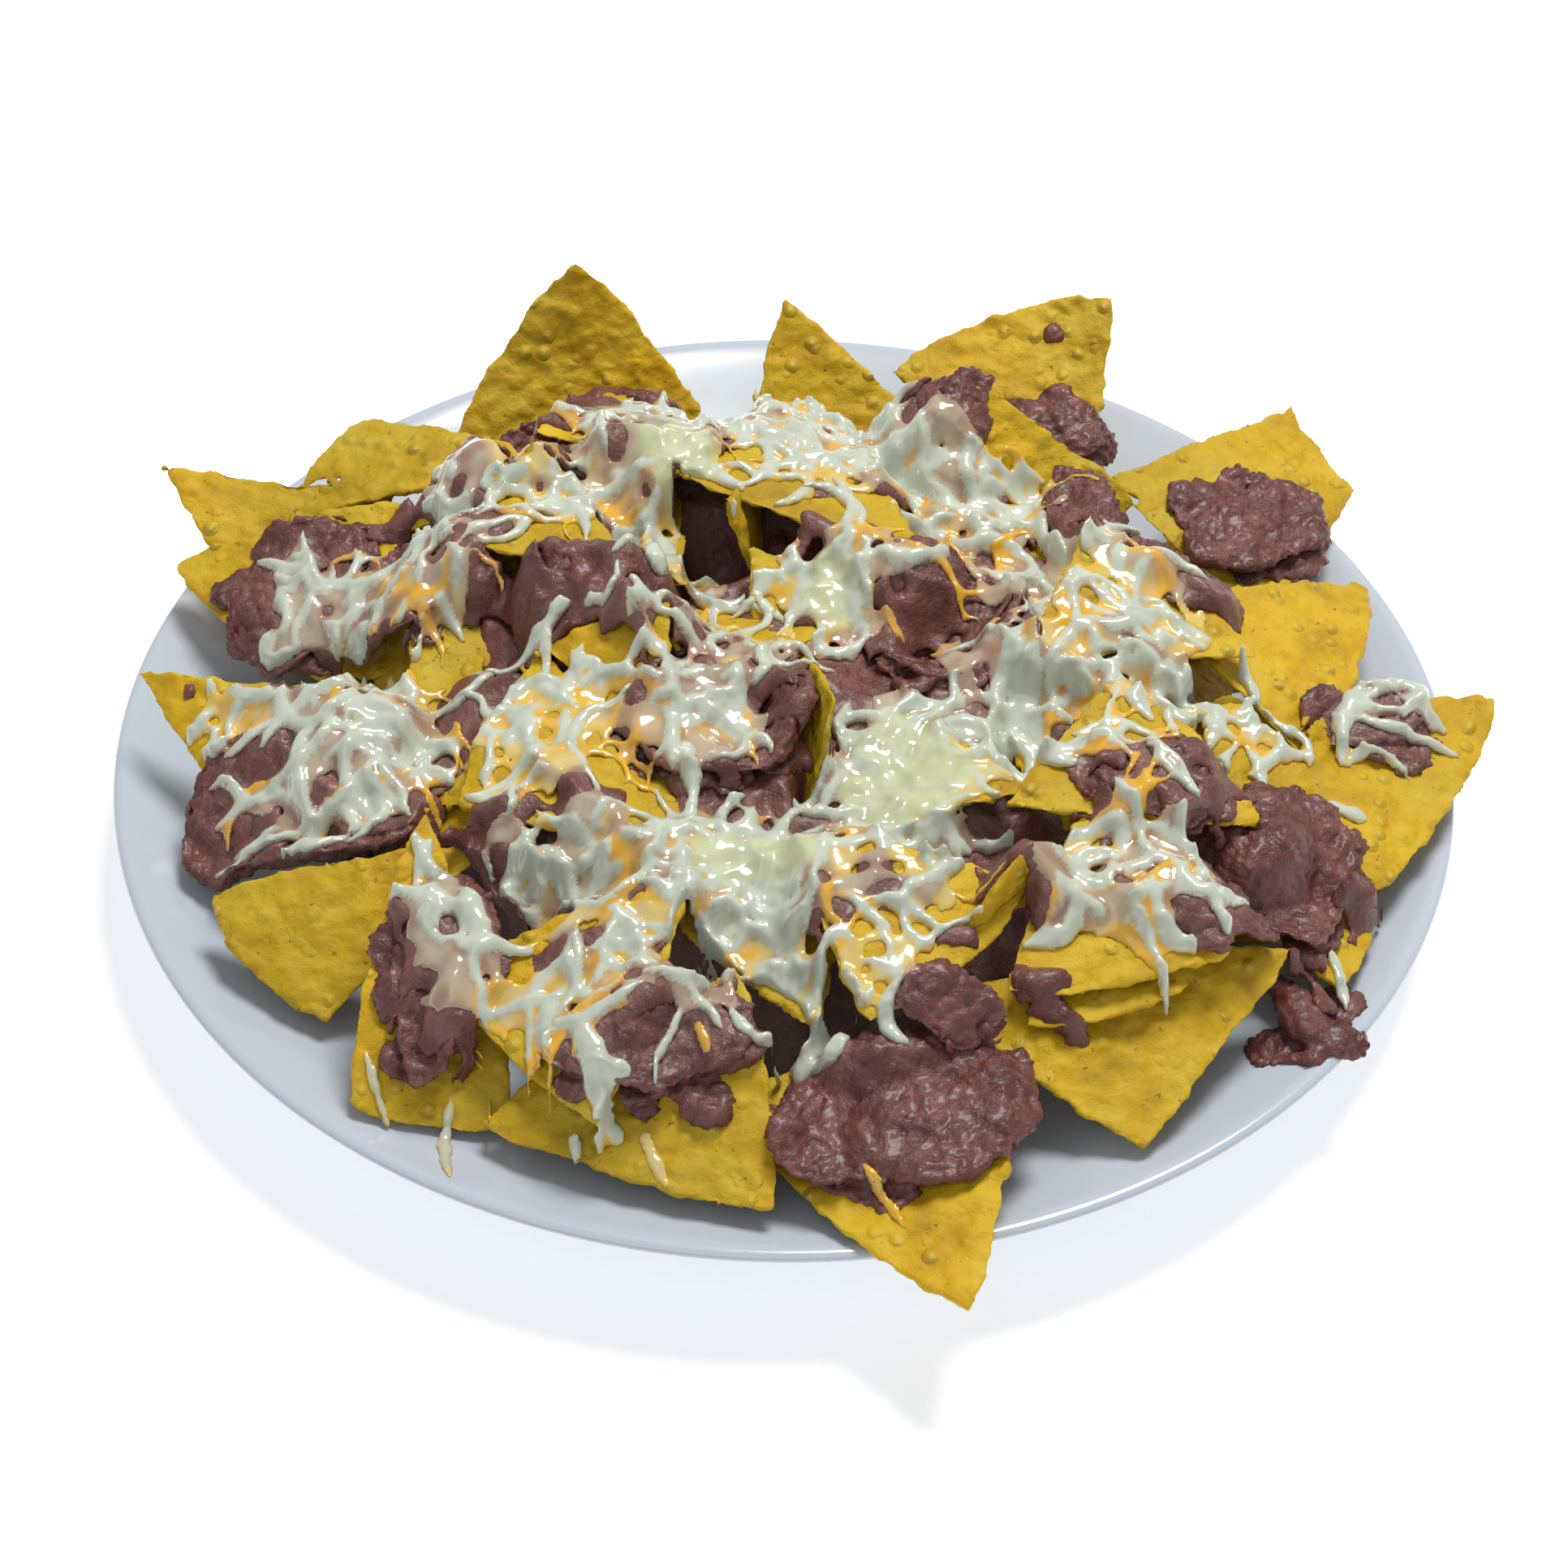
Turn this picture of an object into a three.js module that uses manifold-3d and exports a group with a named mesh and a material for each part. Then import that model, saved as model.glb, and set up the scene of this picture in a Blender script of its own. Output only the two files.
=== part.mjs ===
// Nachos on a dinner plate: tortilla chips heaped with refried beans and melted cheese.
// Millimetres, +Z up. The side that faces the diner is toward -Y.
import * as THREE from 'three';
import { mergeVertices } from 'three/addons/utils/BufferGeometryUtils.js';
import Module from 'manifold-3d';

const wasm = await Module();
wasm.setup();

// ---- sizes ------------------------------------------------------------------------------
const PLATE_RADIUS = 135;
const PLATE_RIM_HEIGHT = 22;
const PLATE_WELL_HEIGHT = 5;
const PLATE_SEGMENTS = 56;
const CHIP_THICKNESS = 1.8;
const CHIP_CORNER = 0.03;
const CHIP_DIVISIONS = 5;
const CLEARANCE = 0.34;
const HEAP_RADIUS = 100;
const HEAP_TOP = 48;
const HEAP_SHOULDER = 4.5;
const CHEESE_COVER = 2.2;
const CHEESE_DEPTH = 4;
const CHEESE_SPOKES = 16;
const CHEESE_RINGS = 3;

// ---- materials --------------------------------------------------------------------------
const GLAZE = { color: 0xdfe4ea, roughness: 0.18, metalness: 0 };
const CORN = { color: 0xd9ab22, roughness: 0.75, metalness: 0 };
const BEAN = { color: 0x7d4a48, roughness: 0.45, metalness: 0 };
const CHEESE = { color: 0xdde2c8, roughness: 0.3, metalness: 0 };
const CRUMB = { color: 0xb98a2c, roughness: 0.8, metalness: 0 };

const group = new THREE.Group();
group.name = 'nachos';

// ---- closed bodies ----------------------------------------------------------------------
function solidOf(geometry) {
  const plain = new THREE.BufferGeometry();
  plain.setAttribute('position', geometry.getAttribute('position').clone());
  if (geometry.index) plain.setIndex(geometry.index.clone());
  const merged = mergeVertices(plain, 1e-4);
  return new wasm.Manifold(new wasm.Mesh({
    numProp: 3,
    vertProperties: new Float32Array(merged.attributes.position.array),
    triVerts: new Uint32Array(merged.index.array),
  }));
}

function largestBody(solid) {
  const bodies = solid.decompose();
  bodies.sort((first, second) => second.volume() - first.volume());
  return bodies[0];
}

// Keeps the main body of a cut piece, without the slivers and stray bits that a cut can leave.
function tidyBody(solid, tolerance) {
  return largestBody(largestBody(solid).simplify(tolerance));
}

function geometryOf(solid) {
  const mesh = solid.getMesh();
  const geometry = new THREE.BufferGeometry();
  geometry.setAttribute('position', new THREE.BufferAttribute(new Float32Array(mesh.vertProperties), 3));
  geometry.setIndex(new THREE.BufferAttribute(new Uint32Array(mesh.triVerts), 1));
  geometry.computeVertexNormals();
  return geometry;
}

function addPiece(name, solid, look) {
  const mesh = new THREE.Mesh(geometryOf(solid), new THREE.MeshStandardMaterial(look));
  mesh.name = name;
  group.add(mesh);
  return mesh;
}

// ---- plate ------------------------------------------------------------------------------
// One turned profile: flat well, sloping rim with a rolled lip, and a foot ring below.
const plateProfile = [
  [0, 2.2],
  [80, 2.2],
  [82, 0],
  [88, 0],
  [91, 3],
  [103, 9],
  [120, 14.5],
  [134, 19.6],
  [PLATE_RADIUS, 21],
  [133.6, PLATE_RIM_HEIGHT],
  [131.4, 21.7],
  [128, 20.2],
  [112, 15.6],
  [99, 11.6],
  [90, 7.2],
  [82, 5.3],
  [72, PLATE_WELL_HEIGHT],
  [0, PLATE_WELL_HEIGHT],
];
const plateGeometry = new THREE.LatheGeometry(
  plateProfile.map(([radius, height]) => new THREE.Vector2(radius, height)),
  PLATE_SEGMENTS,
);
plateGeometry.rotateX(Math.PI / 2);
let plateSolid = solidOf(plateGeometry);
if (plateSolid.volume() < 0) {
  throw new Error('the plate faces inward');
}
const plateMesh = addPiece('plate', plateSolid, GLAZE);

function plateTop(radius) {
  const rise = [[0, 5], [72, 5], [82, 5.3], [90, 7.2], [99, 11.6], [112, 15.6], [128, 20.2], [140, 22]];
  for (let step = 1; step < rise.length; step += 1) {
    const [r0, z0] = rise[step - 1];
    const [r1, z1] = rise[step];
    if (radius <= r1) return z0 + ((z1 - z0) * (radius - r0)) / (r1 - r0);
  }
  return PLATE_RIM_HEIGHT;
}

// ---- tortilla chips ---------------------------------------------------------------------
// A chip is a curved three-cornered sheet. `bend` lifts the middle of the edges ab, bc and ca
// off the flat of the chip, and `bow` pushes those edges outward in it.
function chipPoint(chip, a, b, c) {
  const { A, B, C, normal, out } = chip.frame;
  const point = new THREE.Vector3()
    .addScaledVector(A, a)
    .addScaledVector(B, b)
    .addScaledVector(C, c);
  const share = [4 * a * b, 4 * b * c, 4 * c * a];
  for (let edge = 0; edge < 3; edge += 1) {
    point.addScaledVector(normal, share[edge] * chip.bend[edge]);
    point.addScaledVector(out[edge], share[edge] * chip.bow[edge]);
  }
  return point;
}

function chipFrame(chip) {
  const [A, B, C] = chip.corners.map((corner) => new THREE.Vector3(...corner));
  const normal = new THREE.Vector3().subVectors(B, A).cross(new THREE.Vector3().subVectors(C, A));
  normal.normalize();
  if (normal.z < 0) normal.negate();
  const outward = (p, q, other) => {
    const along = new THREE.Vector3().subVectors(q, p).normalize();
    const away = new THREE.Vector3().addVectors(p, q).multiplyScalar(0.5).sub(other);
    return away.addScaledVector(along, -away.dot(along)).normalize();
  };
  return { A, B, C, normal, out: [outward(A, B, C), outward(B, C, A), outward(C, A, B)] };
}

function chipNormal(chip, b, c) {
  const step = 1e-3;
  const here = chipPoint(chip, 1 - b - c, b, c);
  const alongB = chipPoint(chip, 1 - b - c - step, b + step, c).sub(here);
  const alongC = chipPoint(chip, 1 - b - c - step, b, c + step).sub(here);
  const normal = alongB.cross(alongC).normalize();
  if (normal.dot(chip.frame.normal) < 0) normal.negate();
  return normal;
}

function chipSolid(chip, extra) {
  const n = CHIP_DIVISIONS;
  const half = CHIP_THICKNESS / 2 + extra;
  const { A, B, C } = chip.frame;
  const area = new THREE.Vector3().subVectors(B, A).cross(new THREE.Vector3().subVectors(C, A)).length() / 2;
  const inner = (2 * area) / (A.distanceTo(B) + B.distanceTo(C) + C.distanceTo(A));
  const spread = 1 + extra / inner;
  const rows = [];
  const upper = [];
  const lower = [];
  for (let i = 0; i <= n; i += 1) {
    rows.push([]);
    for (let j = 0; j <= n - i; j += 1) {
      const weights = [1 - (i + j) / n, i / n, j / n];
      for (let corner = 0; corner < 3; corner += 1) {
        if (weights[corner] > 0.999) {
          weights[corner] = 1 - 2 * CHIP_CORNER;
          weights[(corner + 1) % 3] = CHIP_CORNER;
          weights[(corner + 2) % 3] = CHIP_CORNER;
        }
      }
      const [a, b, c] = weights.map((weight) => 1 / 3 + (weight - 1 / 3) * spread);
      const point = chipPoint(chip, a, b, c);
      const normal = chipNormal(chip, b, c);
      rows[i].push(upper.length);
      upper.push(point.clone().addScaledVector(normal, half));
      lower.push(point.clone().addScaledVector(normal, -half));
    }
  }
  const count = upper.length;
  const index = [];
  for (let i = 0; i < n; i += 1) {
    for (let j = 0; j < n - i; j += 1) {
      const [p, q, r] = [rows[i][j], rows[i + 1][j], rows[i][j + 1]];
      index.push(p, q, r, p + count, r + count, q + count);
      if (j < n - i - 1) {
        const s = rows[i + 1][j + 1];
        index.push(q, s, r, q + count, r + count, s + count);
      }
    }
  }
  const rim = [];
  for (let i = 0; i < n; i += 1) rim.push(rows[i][0]);
  for (let j = 0; j < n; j += 1) rim.push(rows[n - j][j]);
  for (let j = n; j > 0; j -= 1) rim.push(rows[0][j]);
  rim.forEach((p, place) => {
    const q = rim[(place + 1) % rim.length];
    index.push(p, p + count, q, q, p + count, q + count);
  });
  const positions = [...upper, ...lower].flatMap((point) => [point.x, point.y, point.z]);
  const geometry = new THREE.BufferGeometry();
  geometry.setAttribute('position', new THREE.Float32BufferAttribute(positions, 3));
  const facing = new THREE.Vector3().subVectors(upper[rows[1][0]], upper[0])
    .cross(new THREE.Vector3().subVectors(upper[rows[0][1]], upper[0]));
  if (facing.dot(chip.frame.normal) < 0) index.reverse();
  geometry.setIndex(index);
  return solidOf(geometry);
}

// The far-right chip has lost its outer corner, along this ragged line seen from above.
const snappedCorner = new THREE.Shape([
  [110, 99], [112, 91], [118, 84], [119, 79], [127, 71], [152, 58], [172, 150], [108, 150],
].map(([x, y]) => new THREE.Vector2(x, y)));

const chips = [
  { name: 'chip_back_left_tall', corners: [[-47, 112, 62], [-77, 87, 21], [-15, 93, 20]],
    bend: [-2, 2, -2], bow: [2, 4, 3] },
  { name: 'chip_back_small', corners: [[-3, 109, 54], [-12, 76, 19], [42, 80, 24]],
    bend: [0, 2, 1], bow: [0, 3, 1] },
  { name: 'chip_back_right_big', corners: [[64, 66, 22], [20, 104, 35], [73, 113, 53]],
    bend: [0, -2, -3], bow: [0, 5, -1] },
  { name: 'chip_back_stand', corners: [[34, 65, 67], [76, 56, 36], [31, 34, 24]],
    bend: [0, 2, 1], bow: [1, 0, 1] },
  { name: 'chip_right_broken', corners: [[142, 120, 25], [64, 60, 41], [100, 30, 27]],
    bend: [0, 0, 1], bow: [1, 0, 1], cut: snappedCorner },
  { name: 'chip_right_upper', corners: [[124, 41, 29], [70, 14, 46], [104, -25, 33]],
    bend: [2, 2, 2], bow: [1, 0, 1] },
  { name: 'chip_right_far', corners: [[74, -14, 42], [145, 8, 30], [104, -57, 26]],
    bend: [0, 2, 2], bow: [0, 6, 0] },
  { name: 'chip_right_curl', corners: [[105, -72, 23], [113, -45, 21], [70, -46, 33]],
    bend: [2, 0, 2], bow: [2, 0, 0] },
  { name: 'chip_front_right', corners: [[66, -111, 22.5], [98, -66, 33], [26, -84, 37]],
    bend: [1, 2, 1], bow: [0, 2, 2] },
  { name: 'chip_front_right_thin', corners: [[85, -80, 43], [37, -89, 41], [60, -42, 52]],
    bend: [-1, 1, 0], bow: [2, 0, 1] },
  { name: 'chip_front_right_under', corners: [[77, -84, 38], [41, -93, 36], [60, -50, 43]],
    bend: [0, 1, 0], bow: [1, 0, 0] },
  { name: 'chip_front_tip', corners: [[-16, -99, 22], [34, -153, 25], [40, -84, 33]],
    bend: [1, 1, 0], bow: [0, 5, 0] },
  { name: 'chip_front_mid', corners: [[3, -128, 24], [-58, -105, 24], [-6, -82, 44]],
    bend: [1, 1, 1], bow: [3, 0, 0] },
  { name: 'chip_front_mid_top', corners: [[-31, -118, 31], [-63, -85, 38], [-14, -68, 51]],
    bend: [0, 1, 2], bow: [1, 2, 0] },
  { name: 'chip_front_left_tall', corners: [[-80, -104, 23], [-66, -50, 52], [-46, -104, 19.5]],
    bend: [2, 2, 0], bow: [3, 0, 1] },
  { name: 'chip_left_low', corners: [[-111, -54, 30], [-84, -82, 20], [-54, -52, 40]],
    bend: [1, 1, 2], bow: [3, 0, 0] },
  { name: 'chip_left_point', corners: [[-133, 0, 38], [-105, -42, 20], [-70, -18, 47]],
    bend: [-1, 2, 0], bow: [-3, 2, 0] },
  { name: 'chip_left_mid', corners: [[-131, 41, 30], [-92, 4, 28], [-74, 44, 46]],
    bend: [2, 1, 1], bow: [1, 1, 1] },
  { name: 'chip_left_up', corners: [[-135, 60, 43], [-100, 26, 19], [-78, 56, 42]],
    bend: [0, 0, -3], bow: [2, 0, -3] },
  { name: 'chip_left_back', corners: [[-91, 77, 42], [-106, 46, 34], [-50, 50, 50]],
    bend: [1, 1, 1], bow: [3, 0, 2] },
  { name: 'chip_back_cover', corners: [[6, 80, 45], [-25, 34, 60], [28, 13, 57]],
    bend: [3, 1, 3], bow: [0, 2, 0] },
  { name: 'chip_crest', corners: [[-9, 18, 57], [-3, -10, 34], [36, 14, 38]],
    bend: [1, 1, 0], bow: [1, 0, 2] },
  { name: 'chip_centre_stand', corners: [[10, -34, 63], [0, -52, 24], [0, 4, 40]],
    bend: [-1, 1, 1], bow: [-2, 0, 2] },
  { name: 'chip_cave_roof', corners: [[-60, 62, 46], [-62, 14, 57], [-26, 8, 58]],
    bend: [2, 1, 2], bow: [1, 2, 0] },
  { name: 'chip_back_bed', corners: [[-34, 90, 38], [-56, 52, 56], [-8, 44, 54]],
    bend: [2, 1, 2], bow: [0, 2, 0] },
  { name: 'chip_centre_left', corners: [[-48, -4, 50], [-64, -46, 43], [-22, -56, 47]],
    bend: [1, 1, 1], bow: [1, 3, 1] },
  { name: 'chip_centre_face', corners: [[-20, -4, 62], [-54, -10, 48], [-28, -38, 40]],
    bend: [1, 1, 1], bow: [1, 1, 1] },
  { name: 'chip_dome', corners: [[40, -52, 49], [64, -12, 52], [92, -50, 42]],
    bend: [4, 4, 6], bow: [1, 1, 1] },
  { name: 'chip_ridge', corners: [[46, -12, 54], [62, 26, 58], [96, -2, 44]],
    bend: [2, 1, 3], bow: [1, 1, 1] },
  { name: 'chip_front_bed', corners: [[0, -58, 52], [16, -98, 40], [48, -68, 48]],
    bend: [1, 1, 1], bow: [1, 2, 1] },
  { name: 'chip_fragment', corners: [[33, -79, 48], [44, -71, 60], [58, -60, 40]],
    bend: [0, 1, 0], bow: [1, 0, 1] },
  { name: 'chip_fold', corners: [[-56, 34, 58], [-63, 49, 60], [-78, 34, 42]],
    bend: [1, 1, 1], bow: [1, 0, 1] },
];

// Everything below the plate's upper face, plus the clearance, is kept free of food.
const plateZoneGeometry = new THREE.LatheGeometry([
  [0, -5],
  [PLATE_RADIUS + 1, -5],
  [PLATE_RADIUS + 1, PLATE_RIM_HEIGHT],
  ...plateProfile.slice(plateProfile.findIndex(([, height]) => height === PLATE_RIM_HEIGHT)),
].map(([radius, height]) => new THREE.Vector2(radius, height)), PLATE_SEGMENTS);
plateZoneGeometry.rotateX(Math.PI / 2);
const plateZone = solidOf(plateZoneGeometry).translate([0, 0, CLEARANCE]);
const chipZones = [];
const chipBodies = [];
for (const chip of chips) {
  chip.frame = chipFrame(chip);
  let body = chipSolid(chip, 0);
  let zone = chipSolid(chip, CLEARANCE);
  if (chip.cut) {
    const wedge = new THREE.ExtrudeGeometry(chip.cut, { depth: 60, bevelEnabled: false });
    const wedgeSolid = solidOf(wedge);
    body = body.subtract(wedgeSolid);
  }
  body = body.subtract(plateZone);
  for (const earlier of chipZones) {
    body = body.subtract(earlier);
  }
  body = tidyBody(body, 0.05);
  chipZones.push(zone);
  chipBodies.push(body);
  chip.body = body;
}
const allChipZones = wasm.Manifold.union(chipZones);

// ---- refried beans ----------------------------------------------------------------------
// Each dollop is a lumpy flattened ball that sits on the chips below it.
const dollops = [
  { name: 'bean_back_left', at: [-48, 84, 37], size: [22, 8, 8], turn: 12, tilt: 30 },
  { name: 'bean_back', at: [-27, 45, 60], size: [13, 9, 7], turn: -8, tilt: 10 },
  { name: 'bean_back_drip', at: [32, 60, 57], size: [6, 7, 10], turn: 0, tilt: 0 },
  { name: 'bean_back_right', at: [56, 86, 36], size: [13, 9, 8], turn: -15, tilt: 30 },
  { name: 'bean_ridge', at: [61, 40, 53], size: [8, 12, 8], turn: 20, tilt: 0 },
  { name: 'bean_right_oval', at: [99, 53, 36], size: [17, 11, 7], turn: 38, tilt: 0 },
  { name: 'bean_right_mid', at: [77, 17, 50], size: [12, 8, 6], turn: -20, tilt: 0 },
  { name: 'bean_crater', at: [31, 4, 52], size: [18, 15, 11], turn: 0, tilt: 0 },
  { name: 'bean_far_right', at: [117, -8, 36], size: [13, 7, 6], turn: 40, tilt: 0 },
  { name: 'bean_right_slab', at: [93, -48, 38], size: [17, 18, 8], turn: 0, tilt: 0 },
  { name: 'bean_right_low', at: [77, -70, 46], size: [13, 8, 6], turn: 0, tilt: 0 },
  { name: 'bean_dome', at: [70, -46, 56], size: [11, 11, 9], turn: 0, tilt: 0 },
  { name: 'bean_spill', at: [98, -77, 23], size: [12, 5, 3.5], turn: -52, tilt: 0 },
  { name: 'bean_front_slab', at: [22, -108, 33], size: [25, 17, 8], turn: 14, tilt: 0 },
  { name: 'bean_front_lip', at: [30, -93, 45], size: [11, 6, 7], turn: 0, tilt: 0 },
  { name: 'bean_front_mid', at: [-24, -100, 42], size: [20, 9, 7], turn: 5, tilt: 20 },
  { name: 'bean_front_left', at: [-62, -82, 40], size: [10, 20, 7], turn: -12, tilt: 20 },
  { name: 'bean_left_slab', at: [-93, -36, 38], size: [27, 13, 9], turn: -16, tilt: 10 },
  { name: 'bean_left_up', at: [-100, 24, 42], size: [11, 19, 8], turn: -30, tilt: 0 },
  { name: 'bean_left_top', at: [-76, 16, 54], size: [16, 12, 9], turn: 10, tilt: 0 },
  { name: 'bean_cave', at: [-38, 6, 60], size: [9, 7, 8], turn: 0, tilt: 0 },
  { name: 'bean_centre', at: [-13, -30, 56], size: [17, 13, 13], turn: 0, tilt: 0 },
];

function dollopSolid(dollop, extra) {
  const [width, depth, height] = dollop.size;
  const detail = width * depth > 250 ? 2 : 1;
  const ball = new THREE.IcosahedronGeometry(1, detail);
  const seed = dollop.at[0] * 0.37 + dollop.at[1] * 0.71;
  const position = ball.getAttribute('position');
  for (let place = 0; place < position.count; place += 1) {
    const point = new THREE.Vector3().fromBufferAttribute(position, place);
    const lump = 1
      + 0.09 * Math.sin(3.1 * point.x + seed)
      + 0.09 * Math.sin(3.7 * point.y + 1.7 * seed)
      + 0.06 * Math.sin(4.3 * point.z + 5.1 * point.x + seed);
    point.multiply(new THREE.Vector3(width, depth, height).multiplyScalar(lump));
    point.addScaledVector(point.clone().normalize(), extra);
    position.setXYZ(place, point.x, point.y, point.z);
  }
  ball.rotateX(THREE.MathUtils.degToRad(dollop.tilt));
  ball.rotateZ(THREE.MathUtils.degToRad(dollop.turn));
  ball.translate(...dollop.at);
  return solidOf(ball);
}

const dollopZones = [];
for (const dollop of dollops) {
  let body = dollopSolid(dollop, 0).subtract(allChipZones).subtract(plateZone);
  if (dollop.name === 'bean_crater') {
    const scoop = new THREE.IcosahedronGeometry(9, 2);
    scoop.scale(1.1, 0.8, 1);
    scoop.translate(30, -1, 61);
    body = body.subtract(solidOf(scoop));
  }
  for (const earlier of dollopZones) {
    body = body.subtract(earlier);
  }
  dollop.body = tidyBody(body, 0.2);
  dollopZones.push(dollopSolid(dollop, CLEARANCE * 2));
}
const allDollopZones = wasm.Manifold.union(dollopZones);

// ---- heap core --------------------------------------------------------------------------
// The chips, crumbs and beans that lie out of sight fill the middle as one uneven mound.
function heapReach(angle) {
  return HEAP_RADIUS * (1 + 0.05 * Math.sin(3 * angle + 0.6) + 0.03 * Math.sin(7 * angle + 2));
}
function heapHeight(share, angle) {
  const shoulder = 1 - share ** HEAP_SHOULDER;
  const ripple = 2.5 * Math.sin(4 * angle + 5 * share) * share * (1 - share);
  return PLATE_WELL_HEIGHT + 9 + (HEAP_TOP - 14) * shoulder + ripple;
}
const HEAP_SPOKES = 22;
const HEAP_RINGS = 5;
function moundSolid(extra) {
  const points = [[0, 0, heapHeight(0, 0) + extra], [0, 0, PLATE_WELL_HEIGHT + CLEARANCE - extra]];
  for (let ring = 1; ring <= HEAP_RINGS; ring += 1) {
    for (let spoke = 0; spoke < HEAP_SPOKES; spoke += 1) {
      const angle = (spoke / HEAP_SPOKES) * 2 * Math.PI;
      const share = ring / HEAP_RINGS;
      const reach = heapReach(angle) * share;
      const radius = reach + (ring === HEAP_RINGS ? extra : 0);
      const floor = plateTop(reach) + CLEARANCE + 0.2;
      const top = Math.max(heapHeight(share, angle), floor + 3) + extra;
      points.push([radius * Math.cos(angle), radius * Math.sin(angle), top]);
      points.push([radius * Math.cos(angle), radius * Math.sin(angle), floor - extra]);
    }
  }
  const at = (ring, spoke, below) => 2 + ((ring - 1) * HEAP_SPOKES + (spoke % HEAP_SPOKES)) * 2 + below;
  const index = [];
  for (let spoke = 0; spoke < HEAP_SPOKES; spoke += 1) {
    index.push(0, at(1, spoke, 0), at(1, spoke + 1, 0));
    index.push(1, at(1, spoke + 1, 1), at(1, spoke, 1));
    for (let ring = 1; ring < HEAP_RINGS; ring += 1) {
      const [p, q] = [at(ring, spoke, 0), at(ring, spoke + 1, 0)];
      const [r, t] = [at(ring + 1, spoke, 0), at(ring + 1, spoke + 1, 0)];
      index.push(p, r, t, p, t, q);
      index.push(p + 1, t + 1, r + 1, p + 1, q + 1, t + 1);
    }
    const [p, q] = [at(HEAP_RINGS, spoke, 0), at(HEAP_RINGS, spoke + 1, 0)];
    index.push(p, p + 1, q + 1, p, q + 1, q);
  }
  const geometry = new THREE.BufferGeometry();
  geometry.setAttribute('position', new THREE.Float32BufferAttribute(points.flat(), 3));
  geometry.setIndex(index);
  return solidOf(geometry);
}
let heapSolid = moundSolid(0).subtract(allChipZones).subtract(allDollopZones).subtract(plateZone);
heapSolid = tidyBody(heapSolid, 0.2);

for (const chip of chips) addPiece(chip.name, chip.body, CORN);
for (const dollop of dollops) addPiece(dollop.name, dollop.body, BEAN);
const heapZone = moundSolid(CLEARANCE * 2);
addPiece('heap_core', heapSolid, CRUMB);

// ---- melted cheese ----------------------------------------------------------------------
// Each patch lies on whatever is under it, a little thicker in the dips.
const patches = [
  { name: 'cheese_left', at: [-82, -2], reach: [36, 30], turn: 20 },
  { name: 'cheese_back', at: [-2, 56], reach: [66, 22], turn: -12 },
  { name: 'cheese_right', at: [58, -14], reach: [40, 34], turn: 0 },
  { name: 'cheese_front', at: [-10, -66], reach: [58, 28], turn: 0 },
];
group.updateMatrixWorld(true);
const below = group.children.filter((mesh) => mesh.name !== 'plate');
below.forEach((mesh) => {
  mesh.geometry.computeBoundingSphere();
});
const caster = new THREE.Raycaster();
function surfaceAt(x, y) {
  caster.set(new THREE.Vector3(x, y, 200), new THREE.Vector3(0, 0, -1));
  const hits = caster.intersectObjects(below, false);
  return hits.length > 0 ? hits[0].point.z : plateTop(Math.hypot(x, y));
}
const heights = new Map();
function smoothSurface(x, y) {
  let total = 0;
  let weight = 0;
  for (const [dx, dy, w] of [[0, 0, 4], [3, 0, 1], [-3, 0, 1], [0, 3, 1], [0, -3, 1]]) {
    const key = `${(x + dx).toFixed(2)},${(y + dy).toFixed(2)}`;
    if (!heights.has(key)) heights.set(key, surfaceAt(x + dx, y + dy));
    total += heights.get(key) * w;
    weight += w;
  }
  return total / weight;
}

const cheeseZones = [];
for (const patch of patches) {
  const [spokes, rings] = [CHEESE_SPOKES, CHEESE_RINGS];
  const turn = THREE.MathUtils.degToRad(patch.turn);
  const points = [];
  for (let ring = 0; ring <= rings; ring += 1) {
    for (let spoke = 0; spoke < (ring === 0 ? 1 : spokes); spoke += 1) {
      const angle = (spoke / spokes) * 2 * Math.PI;
      const wave = 1 + 0.1 * Math.sin(5 * angle + patch.at[0]) + 0.08 * Math.sin(9 * angle + patch.at[1]);
      const share = (ring / rings) * wave;
      const u = Math.cos(angle) * patch.reach[0] * share;
      const v = Math.sin(angle) * patch.reach[1] * share;
      const x = patch.at[0] + u * Math.cos(turn) - v * Math.sin(turn);
      const y = patch.at[1] + u * Math.sin(turn) + v * Math.cos(turn);
      const edge = ring === rings ? 0.4 : 1;
      const top = smoothSurface(x, y) + CHEESE_COVER * edge;
      points.push([x, y, top, top - (ring === rings ? 2 : CHEESE_DEPTH)]);
    }
  }
  const positions = points.flatMap(([x, y, top, base]) => [x, y, top, x, y, base]);
  const at = (ring, spoke) => 2 * (ring === 0 ? 0 : 1 + (ring - 1) * spokes + (spoke % spokes));
  const index = [];
  for (let spoke = 0; spoke < spokes; spoke += 1) {
    index.push(0, at(1, spoke), at(1, spoke + 1));
    index.push(1, at(1, spoke + 1) + 1, at(1, spoke) + 1);
    for (let ring = 1; ring < rings; ring += 1) {
      const [p, q, r, s] = [at(ring, spoke), at(ring, spoke + 1), at(ring + 1, spoke), at(ring + 1, spoke + 1)];
      index.push(p, r, s, p, s, q);
      index.push(p + 1, s + 1, r + 1, p + 1, q + 1, s + 1);
    }
    const [p, q] = [at(rings, spoke), at(rings, spoke + 1)];
    index.push(p, p + 1, q + 1, p, q + 1, q);
  }
  const geometry = new THREE.BufferGeometry();
  geometry.setAttribute('position', new THREE.Float32BufferAttribute(positions, 3));
  geometry.setIndex(index);
  let body = solidOf(geometry);
  body = body.subtract(allChipZones).subtract(allDollopZones).subtract(heapZone).subtract(plateZone);
  for (const earlier of cheeseZones) body = body.subtract(earlier);
  body = tidyBody(body, 0.26);
  cheeseZones.push(solidOf(geometry).translate([0, 0, 1]));
  addPiece(patch.name, body, CHEESE);
}

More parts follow.
